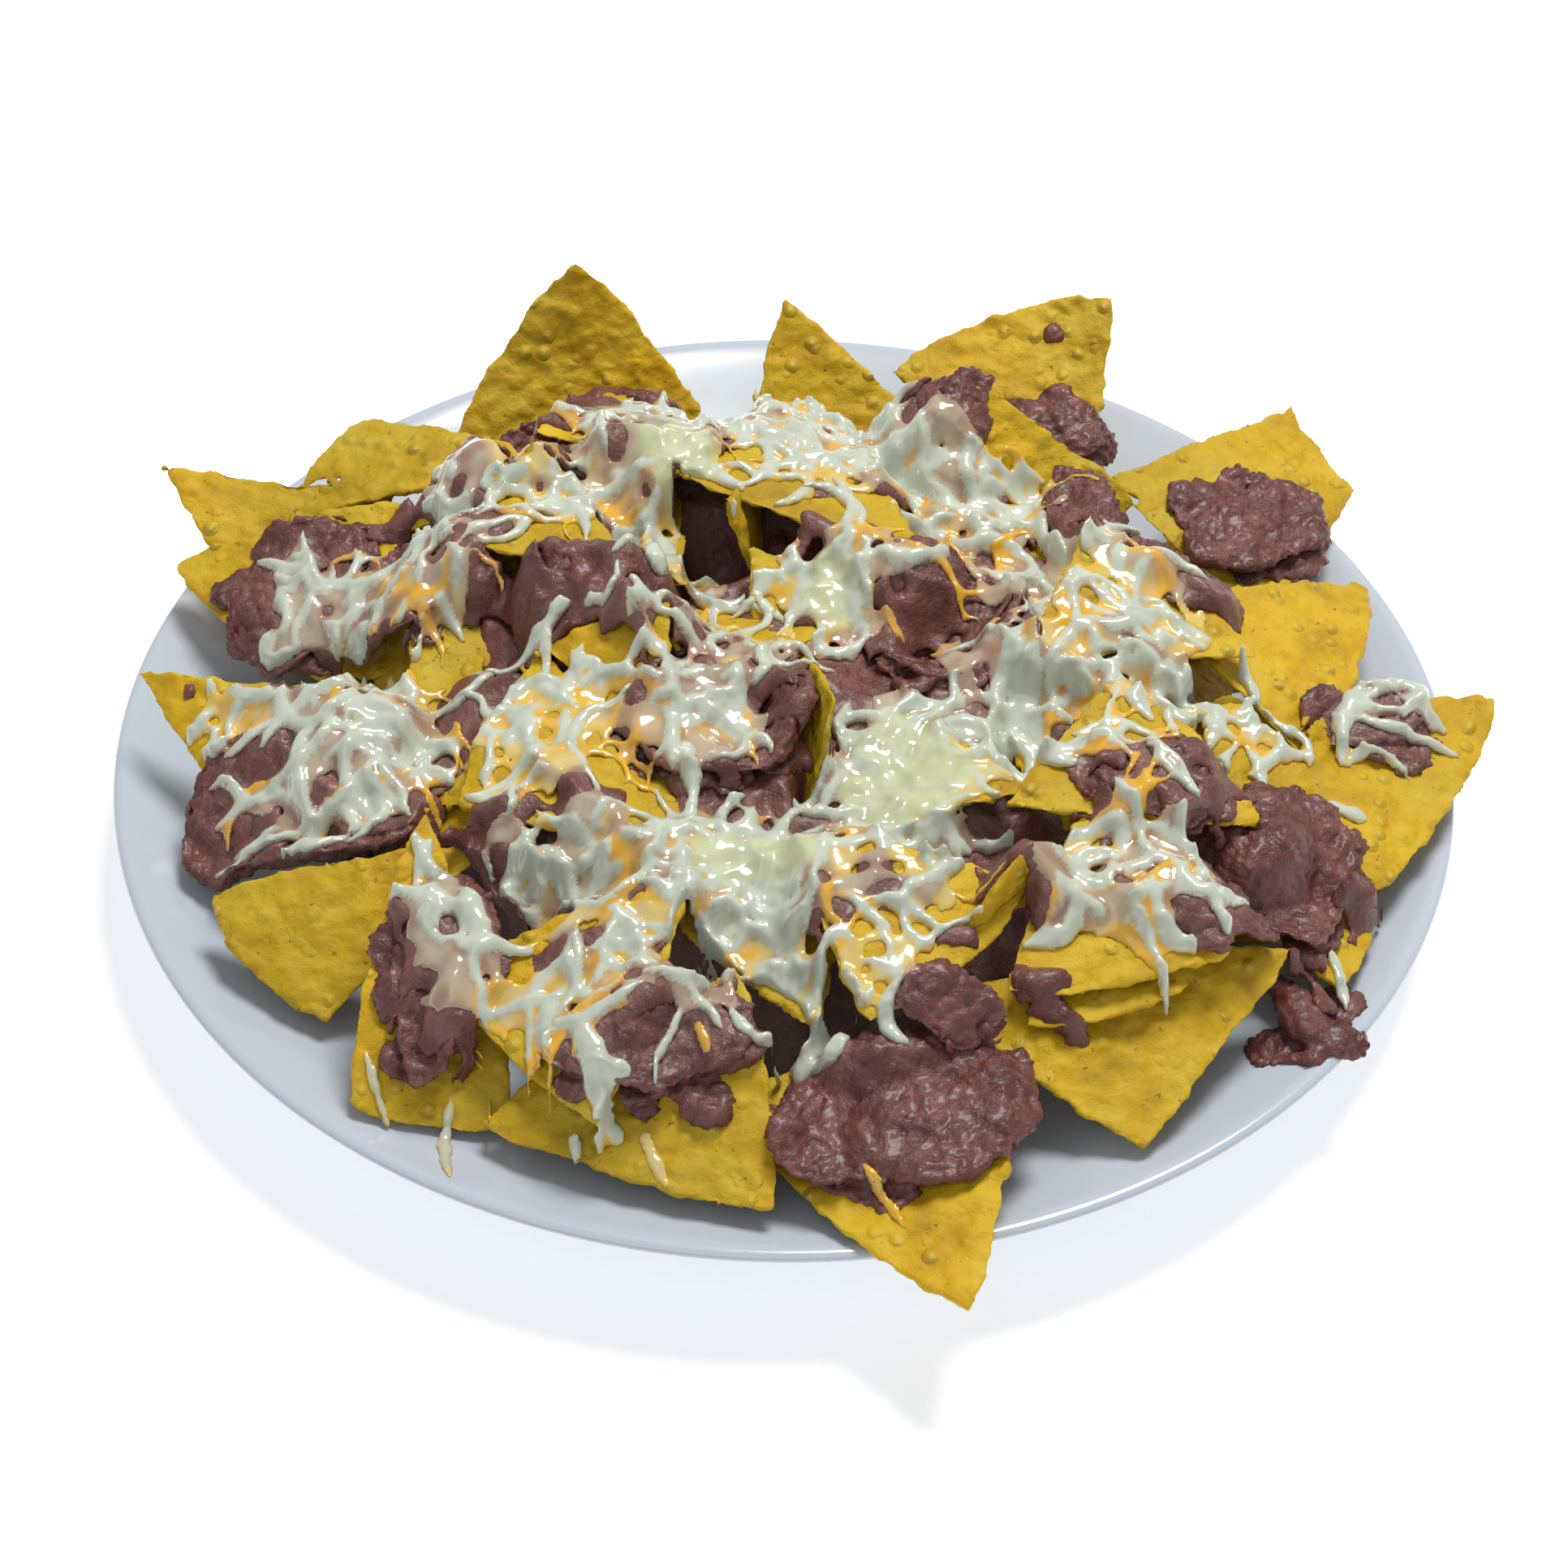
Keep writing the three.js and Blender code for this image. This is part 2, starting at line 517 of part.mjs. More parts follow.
// ---- origin: centre of the whole part's box, at its lowest point --------------------------
const whole = new THREE.Box3().setFromObject(group);
const middle = whole.getCenter(new THREE.Vector3());
for (const mesh of group.children) {
  mesh.geometry.translate(-middle.x, -middle.y, -whole.min.z);
}

export default group;
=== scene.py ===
import math
import random

import bpy
import numpy as np
from mathutils import Matrix, Vector
from mathutils.bvhtree import BVHTree


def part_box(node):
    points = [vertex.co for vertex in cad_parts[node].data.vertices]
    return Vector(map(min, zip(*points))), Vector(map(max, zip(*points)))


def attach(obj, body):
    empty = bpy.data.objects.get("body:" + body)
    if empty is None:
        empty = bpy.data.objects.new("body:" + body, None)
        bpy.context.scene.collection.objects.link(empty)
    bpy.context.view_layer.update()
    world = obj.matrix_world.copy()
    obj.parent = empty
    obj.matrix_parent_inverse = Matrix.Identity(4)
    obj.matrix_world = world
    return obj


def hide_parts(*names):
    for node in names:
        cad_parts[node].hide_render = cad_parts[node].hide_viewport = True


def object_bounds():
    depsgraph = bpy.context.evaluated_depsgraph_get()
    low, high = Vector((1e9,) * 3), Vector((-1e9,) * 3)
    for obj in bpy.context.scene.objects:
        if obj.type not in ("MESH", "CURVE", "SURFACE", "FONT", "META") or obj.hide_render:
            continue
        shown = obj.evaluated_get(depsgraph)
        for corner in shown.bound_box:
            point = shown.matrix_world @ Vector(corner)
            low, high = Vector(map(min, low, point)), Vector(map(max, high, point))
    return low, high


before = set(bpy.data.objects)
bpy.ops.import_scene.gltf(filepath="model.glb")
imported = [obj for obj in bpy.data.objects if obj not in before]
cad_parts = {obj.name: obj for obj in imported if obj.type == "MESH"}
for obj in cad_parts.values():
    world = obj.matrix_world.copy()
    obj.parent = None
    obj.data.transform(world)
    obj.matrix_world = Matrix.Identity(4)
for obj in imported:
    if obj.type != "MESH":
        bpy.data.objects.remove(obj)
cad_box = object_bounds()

bpy.ops.object.select_all(action="DESELECT")

MM = 0.001
plate_low, plate_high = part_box("plate")
plate_x = (plate_low[0] + plate_high[0]) / 2
plate_y = (plate_low[1] + plate_high[1]) / 2

# ---------------------------------------------------------------------------------------
# Camera, floor and light. The plate stands on a plain pale table under one broad soft
# lamp from behind and to the right, with a pale room around it.
camera_distance = 0.700
camera_elevation = math.radians(42.772)
camera_tip = math.radians(0.841)
camera_roll = math.radians(0.787)
rim_height = 0.022
camera_data = bpy.data.cameras.new("camera")
camera_data.sensor_width = 36
camera_data.lens = 79.4
camera_data.clip_start = 0.05
camera = bpy.data.objects.new("camera", camera_data)
bpy.context.scene.collection.objects.link(camera)
camera_place = Vector((
    plate_x,
    plate_y - camera_distance * math.cos(camera_elevation),
    rim_height + camera_distance * math.sin(camera_elevation),
))
camera_turn = (Matrix.Rotation(math.pi / 2 - camera_elevation - camera_tip, 3, "X")
               @ Matrix.Rotation(camera_roll, 3, "Z"))
camera.matrix_world = Matrix.Translation(camera_place) @ camera_turn.to_4x4()
bpy.context.scene.camera = camera

bpy.ops.mesh.primitive_plane_add(size=6, location=(0, 0, 0))
table_top = bpy.context.active_object
table_top.name = "table_top"
table_paint = bpy.data.materials.new("pale table")
table_paint.use_nodes = True
paint_shader = table_paint.node_tree.nodes["Principled BSDF"]
paint_shader.inputs["Base Color"].default_value = (0.93, 0.93, 0.93, 1)
paint_shader.inputs["Roughness"].default_value = 0.8
paint_shader.inputs["Emission Color"].default_value = (1, 1, 1, 1)
paint_shader.inputs["Emission Strength"].default_value = 0.40
table_top.data.materials.append(table_paint)
table_top.select_set(False)

heap_middle = Vector((plate_x, plate_y, 0.03))
for light_name, shape, size, energy, colour, place in (
        ("soft lamp", "DISK", 0.40, 9, (1.0, 0.985, 0.96), (0.20, 0.30, 0.97)),
        ("front fill", "SQUARE", 0.9, 2, (0.95, 0.975, 1.0), (-0.30, -0.90, 0.95))):
    light_data = bpy.data.lights.new(light_name, "AREA")
    light_data.shape = shape
    light_data.size = size
    light_data.energy = energy
    light_data.color = colour
    light = bpy.data.objects.new(light_name, light_data)
    bpy.context.scene.collection.objects.link(light)
    light.location = (plate_x + place[0], plate_y + place[1], place[2])
    light.rotation_euler = (heap_middle - light.location).to_track_quat("-Z", "Y").to_euler()

room = bpy.data.worlds.new("pale room")
room.use_nodes = True
room.node_tree.nodes["Background"].inputs["Color"].default_value = (0.93, 0.96, 1.0, 1)
room.node_tree.nodes["Background"].inputs["Strength"].default_value = 0.40
bpy.context.scene.world = room
bpy.context.scene.view_settings.view_transform = "Standard"

# ---------------------------------------------------------------------------------------
# Plate: one piece of white glazed stoneware, a flat well, a sloping rim with a rolled lip
# and a foot ring. It is built up ring by ring from the underside to the well.
plate_rings = [
    (80, 2.2), (82, 0.0), (88, 0.0), (91, 3.0), (103, 9.0), (120, 14.5), (132.5, 19.0),
    (134.6, 20.2), (134.8, 21.3), (133.4, 22.0), (131.6, 21.7), (128, 20.2),
    (112, 15.6), (99, 11.6), (90, 7.4), (82, 5.4), (72, 5.0), (40, 5.0),
]
bpy.ops.mesh.primitive_circle_add(
    vertices=96, radius=plate_rings[0][0] * MM, fill_type="NGON",
    location=(plate_x, plate_y, plate_rings[0][1] * MM))
plate = bpy.context.active_object
plate.name = "dinner_plate"
bpy.ops.object.mode_set(mode="EDIT")
bpy.ops.mesh.select_mode(type="FACE")
bpy.ops.mesh.select_all(action="SELECT")
for (old_radius, old_height), (radius, height) in zip(plate_rings, plate_rings[1:]):
    bpy.ops.mesh.extrude_region_move(
        TRANSFORM_OT_translate={"value": (0, 0, (height - old_height) * MM)})
    grow = radius / old_radius
    bpy.ops.transform.resize(value=(grow, grow, 1), center_override=(plate_x, plate_y, 0))
bpy.ops.mesh.select_all(action="SELECT")
bpy.ops.mesh.remove_doubles(threshold=1e-6)
bpy.ops.mesh.normals_make_consistent(inside=False)
bpy.ops.object.mode_set(mode="OBJECT")
bpy.ops.object.transform_apply(location=True, rotation=True, scale=True)
rounding = plate.modifiers.new("rounding", "SUBSURF")
rounding.levels = rounding.render_levels = 1
bpy.ops.object.modifier_apply(modifier="rounding")
bpy.ops.object.shade_smooth()


def node_material(material_name):
    """A new material with nodes, and its shader."""
    material = bpy.data.materials.new(material_name)
    material.use_nodes = True
    return material, material.node_tree.nodes["Principled BSDF"]


def add_noise(material, scale, detail, roughness=0.5):
    """Adds a noise texture to a material, in the piece's own space."""
    tree = material.node_tree
    where = tree.nodes.new("ShaderNodeTexCoord")
    noise = tree.nodes.new("ShaderNodeTexNoise")
    noise.inputs["Scale"].default_value = scale
    noise.inputs["Detail"].default_value = detail
    noise.inputs["Roughness"].default_value = roughness
    tree.links.new(where.outputs["Object"], noise.inputs["Vector"])
    return noise


def add_ramp(material, share, stops):
    """Adds colours to a material, from one share and a list of positions and colours."""
    tree = material.node_tree
    ramp = tree.nodes.new("ShaderNodeValToRGB")
    stones = ramp.color_ramp.elements
    stones[0].position, stones[0].color = stops[0]
    stones[1].position, stones[1].color = stops[-1]
    for position, colour in stops[1:-1]:
        stones.new(position).color = colour
    tree.links.new(share, ramp.inputs["Fac"])
    return ramp.outputs["Color"]


def add_range(material, value, from_low, from_high, to_low=0.0, to_high=1.0):
    """Adds a stretch of a value from one range to another to a material."""
    tree = material.node_tree
    stretched = tree.nodes.new("ShaderNodeMapRange")
    stretched.inputs["From Min"].default_value = from_low
    stretched.inputs["From Max"].default_value = from_high
    stretched.inputs["To Min"].default_value = to_low
    stretched.inputs["To Max"].default_value = to_high
    tree.links.new(value, stretched.inputs["Value"])
    return stretched.outputs["Result"]


def add_relief(material, height, strength, distance, below=None):
    """Adds a fine relief to a material, on top of another one if there is one."""
    tree = material.node_tree
    relief = tree.nodes.new("ShaderNodeBump")
    relief.inputs["Strength"].default_value = strength
    relief.inputs["Distance"].default_value = distance
    tree.links.new(height, relief.inputs["Height"])
    if below is not None:
        tree.links.new(below, relief.inputs["Normal"])
    return relief.outputs["Normal"]


glaze, shader = node_material("white glaze")
links = glaze.node_tree.links
tint = add_ramp(glaze, add_noise(glaze, 9, 3).outputs["Fac"],
                [(0.0, (0.48, 0.53, 0.60, 1)), (1.0, (0.53, 0.58, 0.645, 1))])
links.new(tint, shader.inputs["Base Color"])
ripple = add_relief(glaze, add_noise(glaze, 55, 2).outputs["Fac"], 0.05, 0.001)
links.new(ripple, shader.inputs["Normal"])
shader.inputs["Roughness"].default_value = 0.16
shader.inputs["IOR"].default_value = 1.52
shader.inputs["Coat Weight"].default_value = 0.3
shader.inputs["Coat Roughness"].default_value = 0.08
plate.data.materials.append(glaze)
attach(plate, "root")
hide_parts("plate")
bpy.ops.object.select_all(action="DESELECT")

# ---------------------------------------------------------------------------------------
# Tortilla chips: thin three-cornered pieces of fried corn tortilla, curled and blistered.
# Each takes the place and curl of its CAD chip, is rounded off, then warped and blistered.
warp_field = bpy.data.textures.new("chip warp", "CLOUDS")
warp_field.cloud_type = "COLOR"
warp_field.noise_scale = 0.036
warp_field.noise_depth = 1
blister_field = bpy.data.textures.new("chip blisters", "VORONOI")
blister_field.noise_scale = 0.0062
blister_field.distance_metric = "DISTANCE"
blister_field.use_color_ramp = True
blister_field.color_ramp.elements[0].position = 0.0
blister_field.color_ramp.elements[0].color = (1, 1, 1, 1)
blister_field.color_ramp.elements[1].position = 0.5
blister_field.color_ramp.elements[1].color = (0, 0, 0, 1)


def cloud_field(field_name, size, depth):
    """A field of soft clouds for bending and roughening a surface."""
    field = bpy.data.textures.new(field_name, "CLOUDS")
    field.noise_scale = size
    field.noise_depth = depth
    return field


ripple_field = cloud_field("chip ripples", 0.009, 1)
bubble_field = cloud_field("chip bubbles", 0.0030, 1)

corn, shader = node_material("fried corn")
nodes, links = corn.node_tree.nodes, corn.node_tree.links
corn_tone = add_ramp(corn, add_noise(corn, 75, 5, 0.6).outputs["Fac"],
                     [(0.30, (0.44, 0.26, 0.006, 1)),
                      (0.48, (0.60, 0.38, 0.006, 1)),
                      (0.68, (0.66, 0.47, 0.030, 1))])
batch = add_ramp(corn, add_noise(corn, 21, 1).outputs["Fac"],
                 [(0.36, (0.84, 0.86, 1.1, 1)), (0.64, (1.06, 1.02, 0.8, 1))])
varied = nodes.new("ShaderNodeMix")
varied.data_type = "RGBA"
varied.blend_type = "MULTIPLY"
varied.inputs["Factor"].default_value = 1.0
links.new(corn_tone, varied.inputs["A"])
links.new(batch, varied.inputs["B"])
blister_spots = nodes.new("ShaderNodeTexVoronoi")
blister_spots.inputs["Scale"].default_value = 190
where = nodes.new("ShaderNodeTexCoord")
links.new(where.outputs["Object"], blister_spots.inputs["Vector"])
blister_share = add_ramp(corn, blister_spots.outputs["Distance"],
                         [(0.08, (1, 1, 1, 1)), (0.34, (0, 0, 0, 1))])
blister_some = add_range(corn, add_noise(corn, 60, 1).outputs["Fac"], 0.44, 0.56)
blister_mask = nodes.new("ShaderNodeMath")
blister_mask.operation = "MULTIPLY"
links.new(blister_share, blister_mask.inputs[0])
links.new(blister_some, blister_mask.inputs[1])
pale_share = nodes.new("ShaderNodeMath")
pale_share.operation = "MULTIPLY"
pale_share.inputs[1].default_value = 0.55
links.new(blister_mask.outputs["Value"], pale_share.inputs[0])
pale = nodes.new("ShaderNodeMix")
pale.data_type = "RGBA"
pale.inputs["B"].default_value = (0.68, 0.53, 0.10, 1)
links.new(pale_share.outputs["Value"], pale.inputs["Factor"])
links.new(varied.outputs["Result"], pale.inputs["A"])
fleck_share = add_range(corn, add_noise(corn, 620, 2).outputs["Fac"], 0.69, 0.75, 0.0, 0.75)
flecked = nodes.new("ShaderNodeMix")
flecked.data_type = "RGBA"
flecked.inputs["B"].default_value = (0.20, 0.085, 0.015, 1)
links.new(fleck_share, flecked.inputs["Factor"])
links.new(pale.outputs["Result"], flecked.inputs["A"])
links.new(flecked.outputs["Result"], shader.inputs["Base Color"])
grain_relief = add_relief(corn, add_noise(corn, 480, 6, 0.65).outputs["Fac"], 0.8, 0.0007)
blister_relief = add_relief(corn, blister_mask.outputs["Value"], 0.9, 0.0012, grain_relief)
links.new(blister_relief, shader.inputs["Normal"])
shader.inputs["Roughness"].default_value = 0.5
shader.inputs["Specular IOR Level"].default_value = 0.3
shader.inputs["Subsurface Weight"].default_value = 0.06
shader.inputs["Subsurface Radius"].default_value = (0.003, 0.0015, 0.0004)
shader.inputs["Subsurface Scale"].default_value = 1.0


def copy_of_node(node_name, piece_name):
    """A new mesh piece with the shape of one CAD node, its loose triangles merged."""
    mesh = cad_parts[node_name].data.copy()
    mesh.materials.clear()
    piece = bpy.data.objects.new(piece_name, mesh)
    bpy.context.scene.collection.objects.link(piece)
    bpy.ops.object.select_all(action="DESELECT")
    piece.select_set(True)
    bpy.context.view_layer.objects.active = piece
    bpy.ops.object.mode_set(mode="EDIT")
    bpy.ops.mesh.select_all(action="SELECT")
    bpy.ops.mesh.remove_doubles(threshold=2e-6)
    bpy.ops.mesh.customdata_custom_splitnormals_clear()
    bpy.ops.object.mode_set(mode="OBJECT")
    return piece


def apply_all(piece):
    """Applies every modifier on the piece, in order."""
    bpy.context.view_layer.objects.active = piece
    for modifier in list(piece.modifiers):
        bpy.ops.object.modifier_apply(modifier=modifier.name)


def roughen(piece, layer_name, field, strength, mid_level=0.5):
    """Adds a layer of bumps from a field to a piece."""
    layer = piece.modifiers.new(layer_name, "DISPLACE")
    layer.texture = field
    layer.texture_coords = "LOCAL"
    layer.strength = strength
    layer.mid_level = mid_level
    return layer


def fry(piece, cell):
    """Rounds a chip off, warps it, blisters it, and gives it its corn surface."""
    bpy.ops.object.mode_set(mode="EDIT")
    bpy.ops.mesh.select_mode(type="EDGE")
    bpy.ops.mesh.select_all(action="DESELECT")
    bpy.ops.mesh.edges_select_sharp(sharpness=math.radians(48))
    bpy.ops.transform.edge_crease(value=0.95)
    bpy.ops.object.mode_set(mode="OBJECT")
    curl = piece.modifiers.new("curl", "SUBSURF")
    curl.levels = curl.render_levels = 2
    dense = piece.modifiers.new("dense", "REMESH")
    dense.mode = "VOXEL"
    dense.voxel_size = cell
    soft = piece.modifiers.new("soft", "SMOOTH")
    soft.factor = 0.5
    soft.iterations = 2
    roughen(piece, "warp", warp_field, 0.0040).direction = "RGB_TO_XYZ"
    roughen(piece, "ripples", ripple_field, 0.0015)
    roughen(piece, "bubbles", bubble_field, 0.0011)
    roughen(piece, "blisters", blister_field, 0.0008, 0.62)
    apply_all(piece)
    piece.data.materials.clear()
    piece.data.materials.append(corn)
    bpy.ops.object.shade_smooth()


chip_cell = 0.00075
chips = []
for node_name in sorted(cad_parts):
    if not node_name.startswith("chip_"):
        continue
    chip = copy_of_node(node_name, "tortilla_" + node_name)
    fry(chip, chip_cell)
    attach(chip, "root")
    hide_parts(node_name)
    chips.append(chip)

# ---------------------------------------------------------------------------------------
# Middle of the heap: beans and crumbs packed together under the shown pieces. Its top is a
# map of heights taken from the CAD heap, dug out where there are hollows and made lumpy, then
# closed to a solid. Small chips lie half sunk in it and lean out from it onto the plate.
def lying_surface(pieces):
    """One search tree of all the faces of these pieces, to drop things onto."""
    points, faces = [], []
    for piece in pieces:
        first = len(points)
        points.extend(vertex.co.copy() for vertex in piece.data.vertices)
        faces.extend([first + corner for corner in face.vertices]
                     for face in piece.data.polygons)
    return BVHTree.FromPolygons(points, faces)


map_step = 0.0005
map_x, map_y = cad_box[0][0], cad_box[0][1]
map_columns = int((cad_box[1][0] - map_x) / map_step) + 1
map_rows = int((cad_box[1][1] - map_y) / map_step) + 1
down = Vector((0, 0, -1))
above_heap = 0.2


def height_map(surface):
    """How high the top of a surface lies, on a fine square grid seen from above."""
    heights = np.zeros((map_rows, map_columns))
    for row in range(map_rows):
        for column in range(map_columns):
            start = Vector((map_x + column * map_step, map_y + row * map_step, above_heap))
            hit = surface.ray_cast(start, down)[0]
            if hit is not None:
                heights[row, column] = hit.z
    return heights


def map_cells(places):
    """The grid row and column under each of these points."""
    columns = np.clip(np.rint((places[:, 0] - map_x) / map_step).astype(int), 0, map_columns - 1)
    rows = np.clip(np.rint((places[:, 1] - map_y) / map_step).astype(int), 0, map_rows - 1)
    return rows, columns


def vertex_places(piece):
    """The places of all vertices of a piece, one row each."""
    places = np.empty(len(piece.data.vertices) * 3)
    piece.data.vertices.foreach_get("co", places)
    return places.reshape(-1, 3)


row_wave = np.fft.fftfreq(map_rows)[:, None]
column_wave = np.fft.rfftfreq(map_columns)[None, :]


def blurred(values, reach):
    """A map smoothed over a reach in metres."""
    cells = reach / map_step
    fade = np.exp(-2 * (math.pi * cells) ** 2 * (row_wave ** 2 + column_wave ** 2))
    return np.fft.irfft2(np.fft.rfft2(values) * fade, s=values.shape)


def cloud_map(reach, seed):
    """Random soft clouds of one size, from about -2 to 2."""
    cloud = blurred(np.random.default_rng(seed).standard_normal((map_rows, map_columns)), reach)
    return cloud / cloud.std()


def widened(values, reach):
    """A map with every high place spread out over a reach in metres."""
    cells = int(reach / map_step)
    wide = values.copy()
    for rows_off in range(-cells, cells + 1):
        for columns_off in range(-cells, cells + 1):
            if rows_off ** 2 + columns_off ** 2 <= cells ** 2:
                wide = np.maximum(wide, np.roll(values, (rows_off, columns_off), (0, 1)))
    return wide


def banked(values, slope, reach):
    """A map with a bank of this slope heaped against every step in it."""
    cells = int(reach / map_step)
    banks = values.copy()
    for rows_off in range(-cells, cells + 1):
        for columns_off in range(-cells, cells + 1):
            away = math.hypot(rows_off, columns_off)
            if 0 < away <= cells:
                shifted = np.roll(values, (rows_off, columns_off), (0, 1))
                banks = np.maximum(banks, shifted - slope * away * map_step)
    return banks


map_x_mm = (map_x + np.arange(map_columns) * map_step - plate_x) / MM
map_y_mm = (map_y + np.arange(map_rows) * map_step - plate_y) / MM
edge_clouds = cloud_map(0.0022, 7)
hole_clouds = cloud_map(0.0013, 8)


def zone_map(zone_x, zone_y, reach_x, reach_y, turn):
    """1 in the middle of an oval zone, 0 at its edge and less outside."""
    slant = math.radians(turn)
    east, north = map_x_mm[None, :] - zone_x, map_y_mm[:, None] - zone_y
    across = east * math.cos(slant) + north * math.sin(slant)
    along = north * math.cos(slant) - east * math.sin(slant)
    return 1 - np.hypot(across / reach_x, along / reach_y)


least_depth = 0.00014


def lay_over(piece_name, lying_on, depths, sink, cell_size):
    """A closed skin that lies on a map of heights, as deep as the map of depths says."""
    solid = depths > least_depth
    cell = solid[:-1, :-1] & solid[1:, :-1] & solid[:-1, 1:] & solid[1:, 1:]
    used = np.zeros_like(solid)
    for rows_off in (0, 1):
        for columns_off in (0, 1):
            used[rows_off:map_rows - 1 + rows_off,
                 columns_off:map_columns - 1 + columns_off] |= cell
    number = np.full(solid.shape, -1)
    count = int(used.sum())
    number[used] = np.arange(count)
    rows, columns = np.nonzero(used)
    x, y = map_x + columns * map_step, map_y + rows * map_step
    top = np.stack([x, y, (lying_on + depths)[used]], axis=1)
    bottom = np.stack([x, y, (lying_on - sink)[used]], axis=1)
    rows, columns = np.nonzero(cell)
    upper = np.stack([number[rows, columns], number[rows, columns + 1],
                      number[rows + 1, columns + 1], number[rows + 1, columns]], axis=1)
    padded = np.pad(cell, 1)
    faces = [upper, upper[:, ::-1] + count]
    for corners, neighbour in (((0, 1), (-1, 0)), ((1, 2), (0, 1)),
                               ((2, 3), (1, 0)), ((3, 0), (0, -1))):
        open_side = ~padded[rows + 1 + neighbour[0], columns + 1 + neighbour[1]]
        one, two = upper[open_side, corners[0]], upper[open_side, corners[1]]
        faces.append(np.stack([two, one, one + count, two + count], axis=1))
    mesh = bpy.data.meshes.new(piece_name)
    mesh.from_pydata(np.concatenate([top, bottom]).tolist(), [], np.concatenate(faces).tolist())
    piece = bpy.data.objects.new(piece_name, mesh)
    bpy.context.scene.collection.objects.link(piece)
    bpy.ops.object.select_all(action="DESELECT")
    piece.select_set(True)
    bpy.context.view_layer.objects.active = piece
    fuse = piece.modifiers.new("fuse", "REMESH")
    fuse.mode = "VOXEL"
    fuse.voxel_size = cell_size
    soft = piece.modifiers.new("soft", "SMOOTH")
    soft.factor = 0.5
    soft.iterations = 3
    apply_all(piece)
    bpy.ops.object.shade_smooth()
    return piece


heap_heights = height_map(lying_surface([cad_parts["heap_core"]]))
# each hollow: its middle, half sizes and turn, then its depth in millimetres
hollows = [
    (-54, 20, 11, 8, 10, 13), (-66, 4, 6, 5, 0, 10), (-15, 30, 11, 15, -10, 15),
    (8, 32, 9, 5, 0, 9), (45, -27, 6, 9, 10, 11), (4, -43, 3, 8, 0, 8), (24, -80, 7, 5, 0, 6),
    (-58, -37, 6, 4, 0, 6), (31, -1, 9, 9, 0, 8), (-33, -26, 5, 5, 0, 5),
]
packed = np.minimum(blurred(heap_heights, 0.0012), heap_heights + 0.0005) - 0.0004
packed += 0.0010 * cloud_map(0.0024, 21) + 0.0006 * cloud_map(0.0010, 22)
for hollow_x, hollow_y, reach_x, reach_y, turn, depth in hollows:
    packed -= np.clip(zone_map(hollow_x, hollow_y, reach_x, reach_y, turn) * 2.2, 0, 1) * depth * MM
well = 0.0054
from_middle = np.hypot(map_x_mm[None, :], map_y_mm[:, None])
edge_start = 72 - 12 * np.clip(map_y_mm[:, None] / 30, 0, 1)
packed_depths = packed - well - np.clip((from_middle - edge_start) / 16, 0, 1) * 0.024
footprint = (heap_heights > 0.013) & (packed_depths > 0.0005)
packed_depths = np.where(footprint, np.maximum(packed_depths, 0.001), 0)
packed_cell = 0.0011
bed = lay_over("packed_middle", np.full(packed.shape, well), packed_depths,
               np.zeros(packed.shape), packed_cell)

paste, shader = node_material("refried beans")
nodes, links = paste.node_tree.nodes, paste.node_tree.links
smear = add_noise(paste, 120, 6, 0.62)
smear.inputs["Distortion"].default_value = 0.6
paste_tone = add_ramp(paste, smear.outputs["Fac"],
                      [(0.3, (0.082, 0.021, 0.018, 1)),
                       (0.5, (0.142, 0.043, 0.034, 1)),
                       (0.72, (0.224, 0.081, 0.070, 1))])
milk = nodes.new("ShaderNodeAttribute")
milk.attribute_name = "milk"
milky = nodes.new("ShaderNodeMix")
milky.data_type = "RGBA"
milky.inputs["B"].default_value = (0.50, 0.36, 0.29, 1)
links.new(milk.outputs["Fac"], milky.inputs["Factor"])
links.new(paste_tone, milky.inputs["A"])
links.new(milky.outputs["Result"], shader.inputs["Base Color"])
mash = add_noise(paste, 430, 5, 0.6).outputs["Fac"]
links.new(add_relief(paste, mash, 0.85, 0.0012), shader.inputs["Normal"])
links.new(add_range(paste, mash, 0.35, 0.65, 0.22, 0.44), shader.inputs["Roughness"])
shader.inputs["Coat Weight"].default_value = 0.2
shader.inputs["Coat Roughness"].default_value = 0.18
shader.inputs["Subsurface Weight"].default_value = 0.1
shader.inputs["Subsurface Radius"].default_value = (0.002, 0.0008, 0.0006)
shader.inputs["Subsurface Scale"].default_value = 1.0
shader.inputs["Specular IOR Level"].default_value = 0.45
bed.data.materials.append(paste)
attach(bed, "root")
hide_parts("heap_core")

# each small chip: its middle in millimetres, then its pitch, roll and turn
inner_places = [
    (-62, -4, 12, -8, 20), (-34, 28, -10, 12, 95), (-6, 4, 14, 6, 160), (30, 24, -12, -10, 230),
    (58, -26, 10, 14, 290), (24, -38, -6, -12, 10), (-24, -44, 12, 10, 75),
    (-2, -70, -14, 4, 200), (52, 30, 8, -14, 330), (-58, 34, -12, -6, 130), (8, 58, 14, 0, 40),
    (84, -34, -8, 12, 110), (-4, 33, 5, 74, 0), (-50, 28, 62, 0, 12), (-22, 6, 10, 60, 20),
]
half_thickness = 0.0012
resting_heights = np.maximum(blurred(well + packed_depths, 0.0040),
                             height_map(lying_surface([plate]))) + half_thickness
packed_top = blurred(packed, 0.0060) + 0.0005
heap_reach = 76


def lying_height(x, y):
    """How high a small chip lies here: on the heap, or farther out on the plate."""
    rows, columns = map_cells(np.array([[plate_x + x * MM, plate_y + y * MM]]))
    resting = resting_heights[rows[0], columns[0]]
    if math.hypot(x, y) < heap_reach:
        return max(packed_top[rows[0], columns[0]], resting)
    return resting


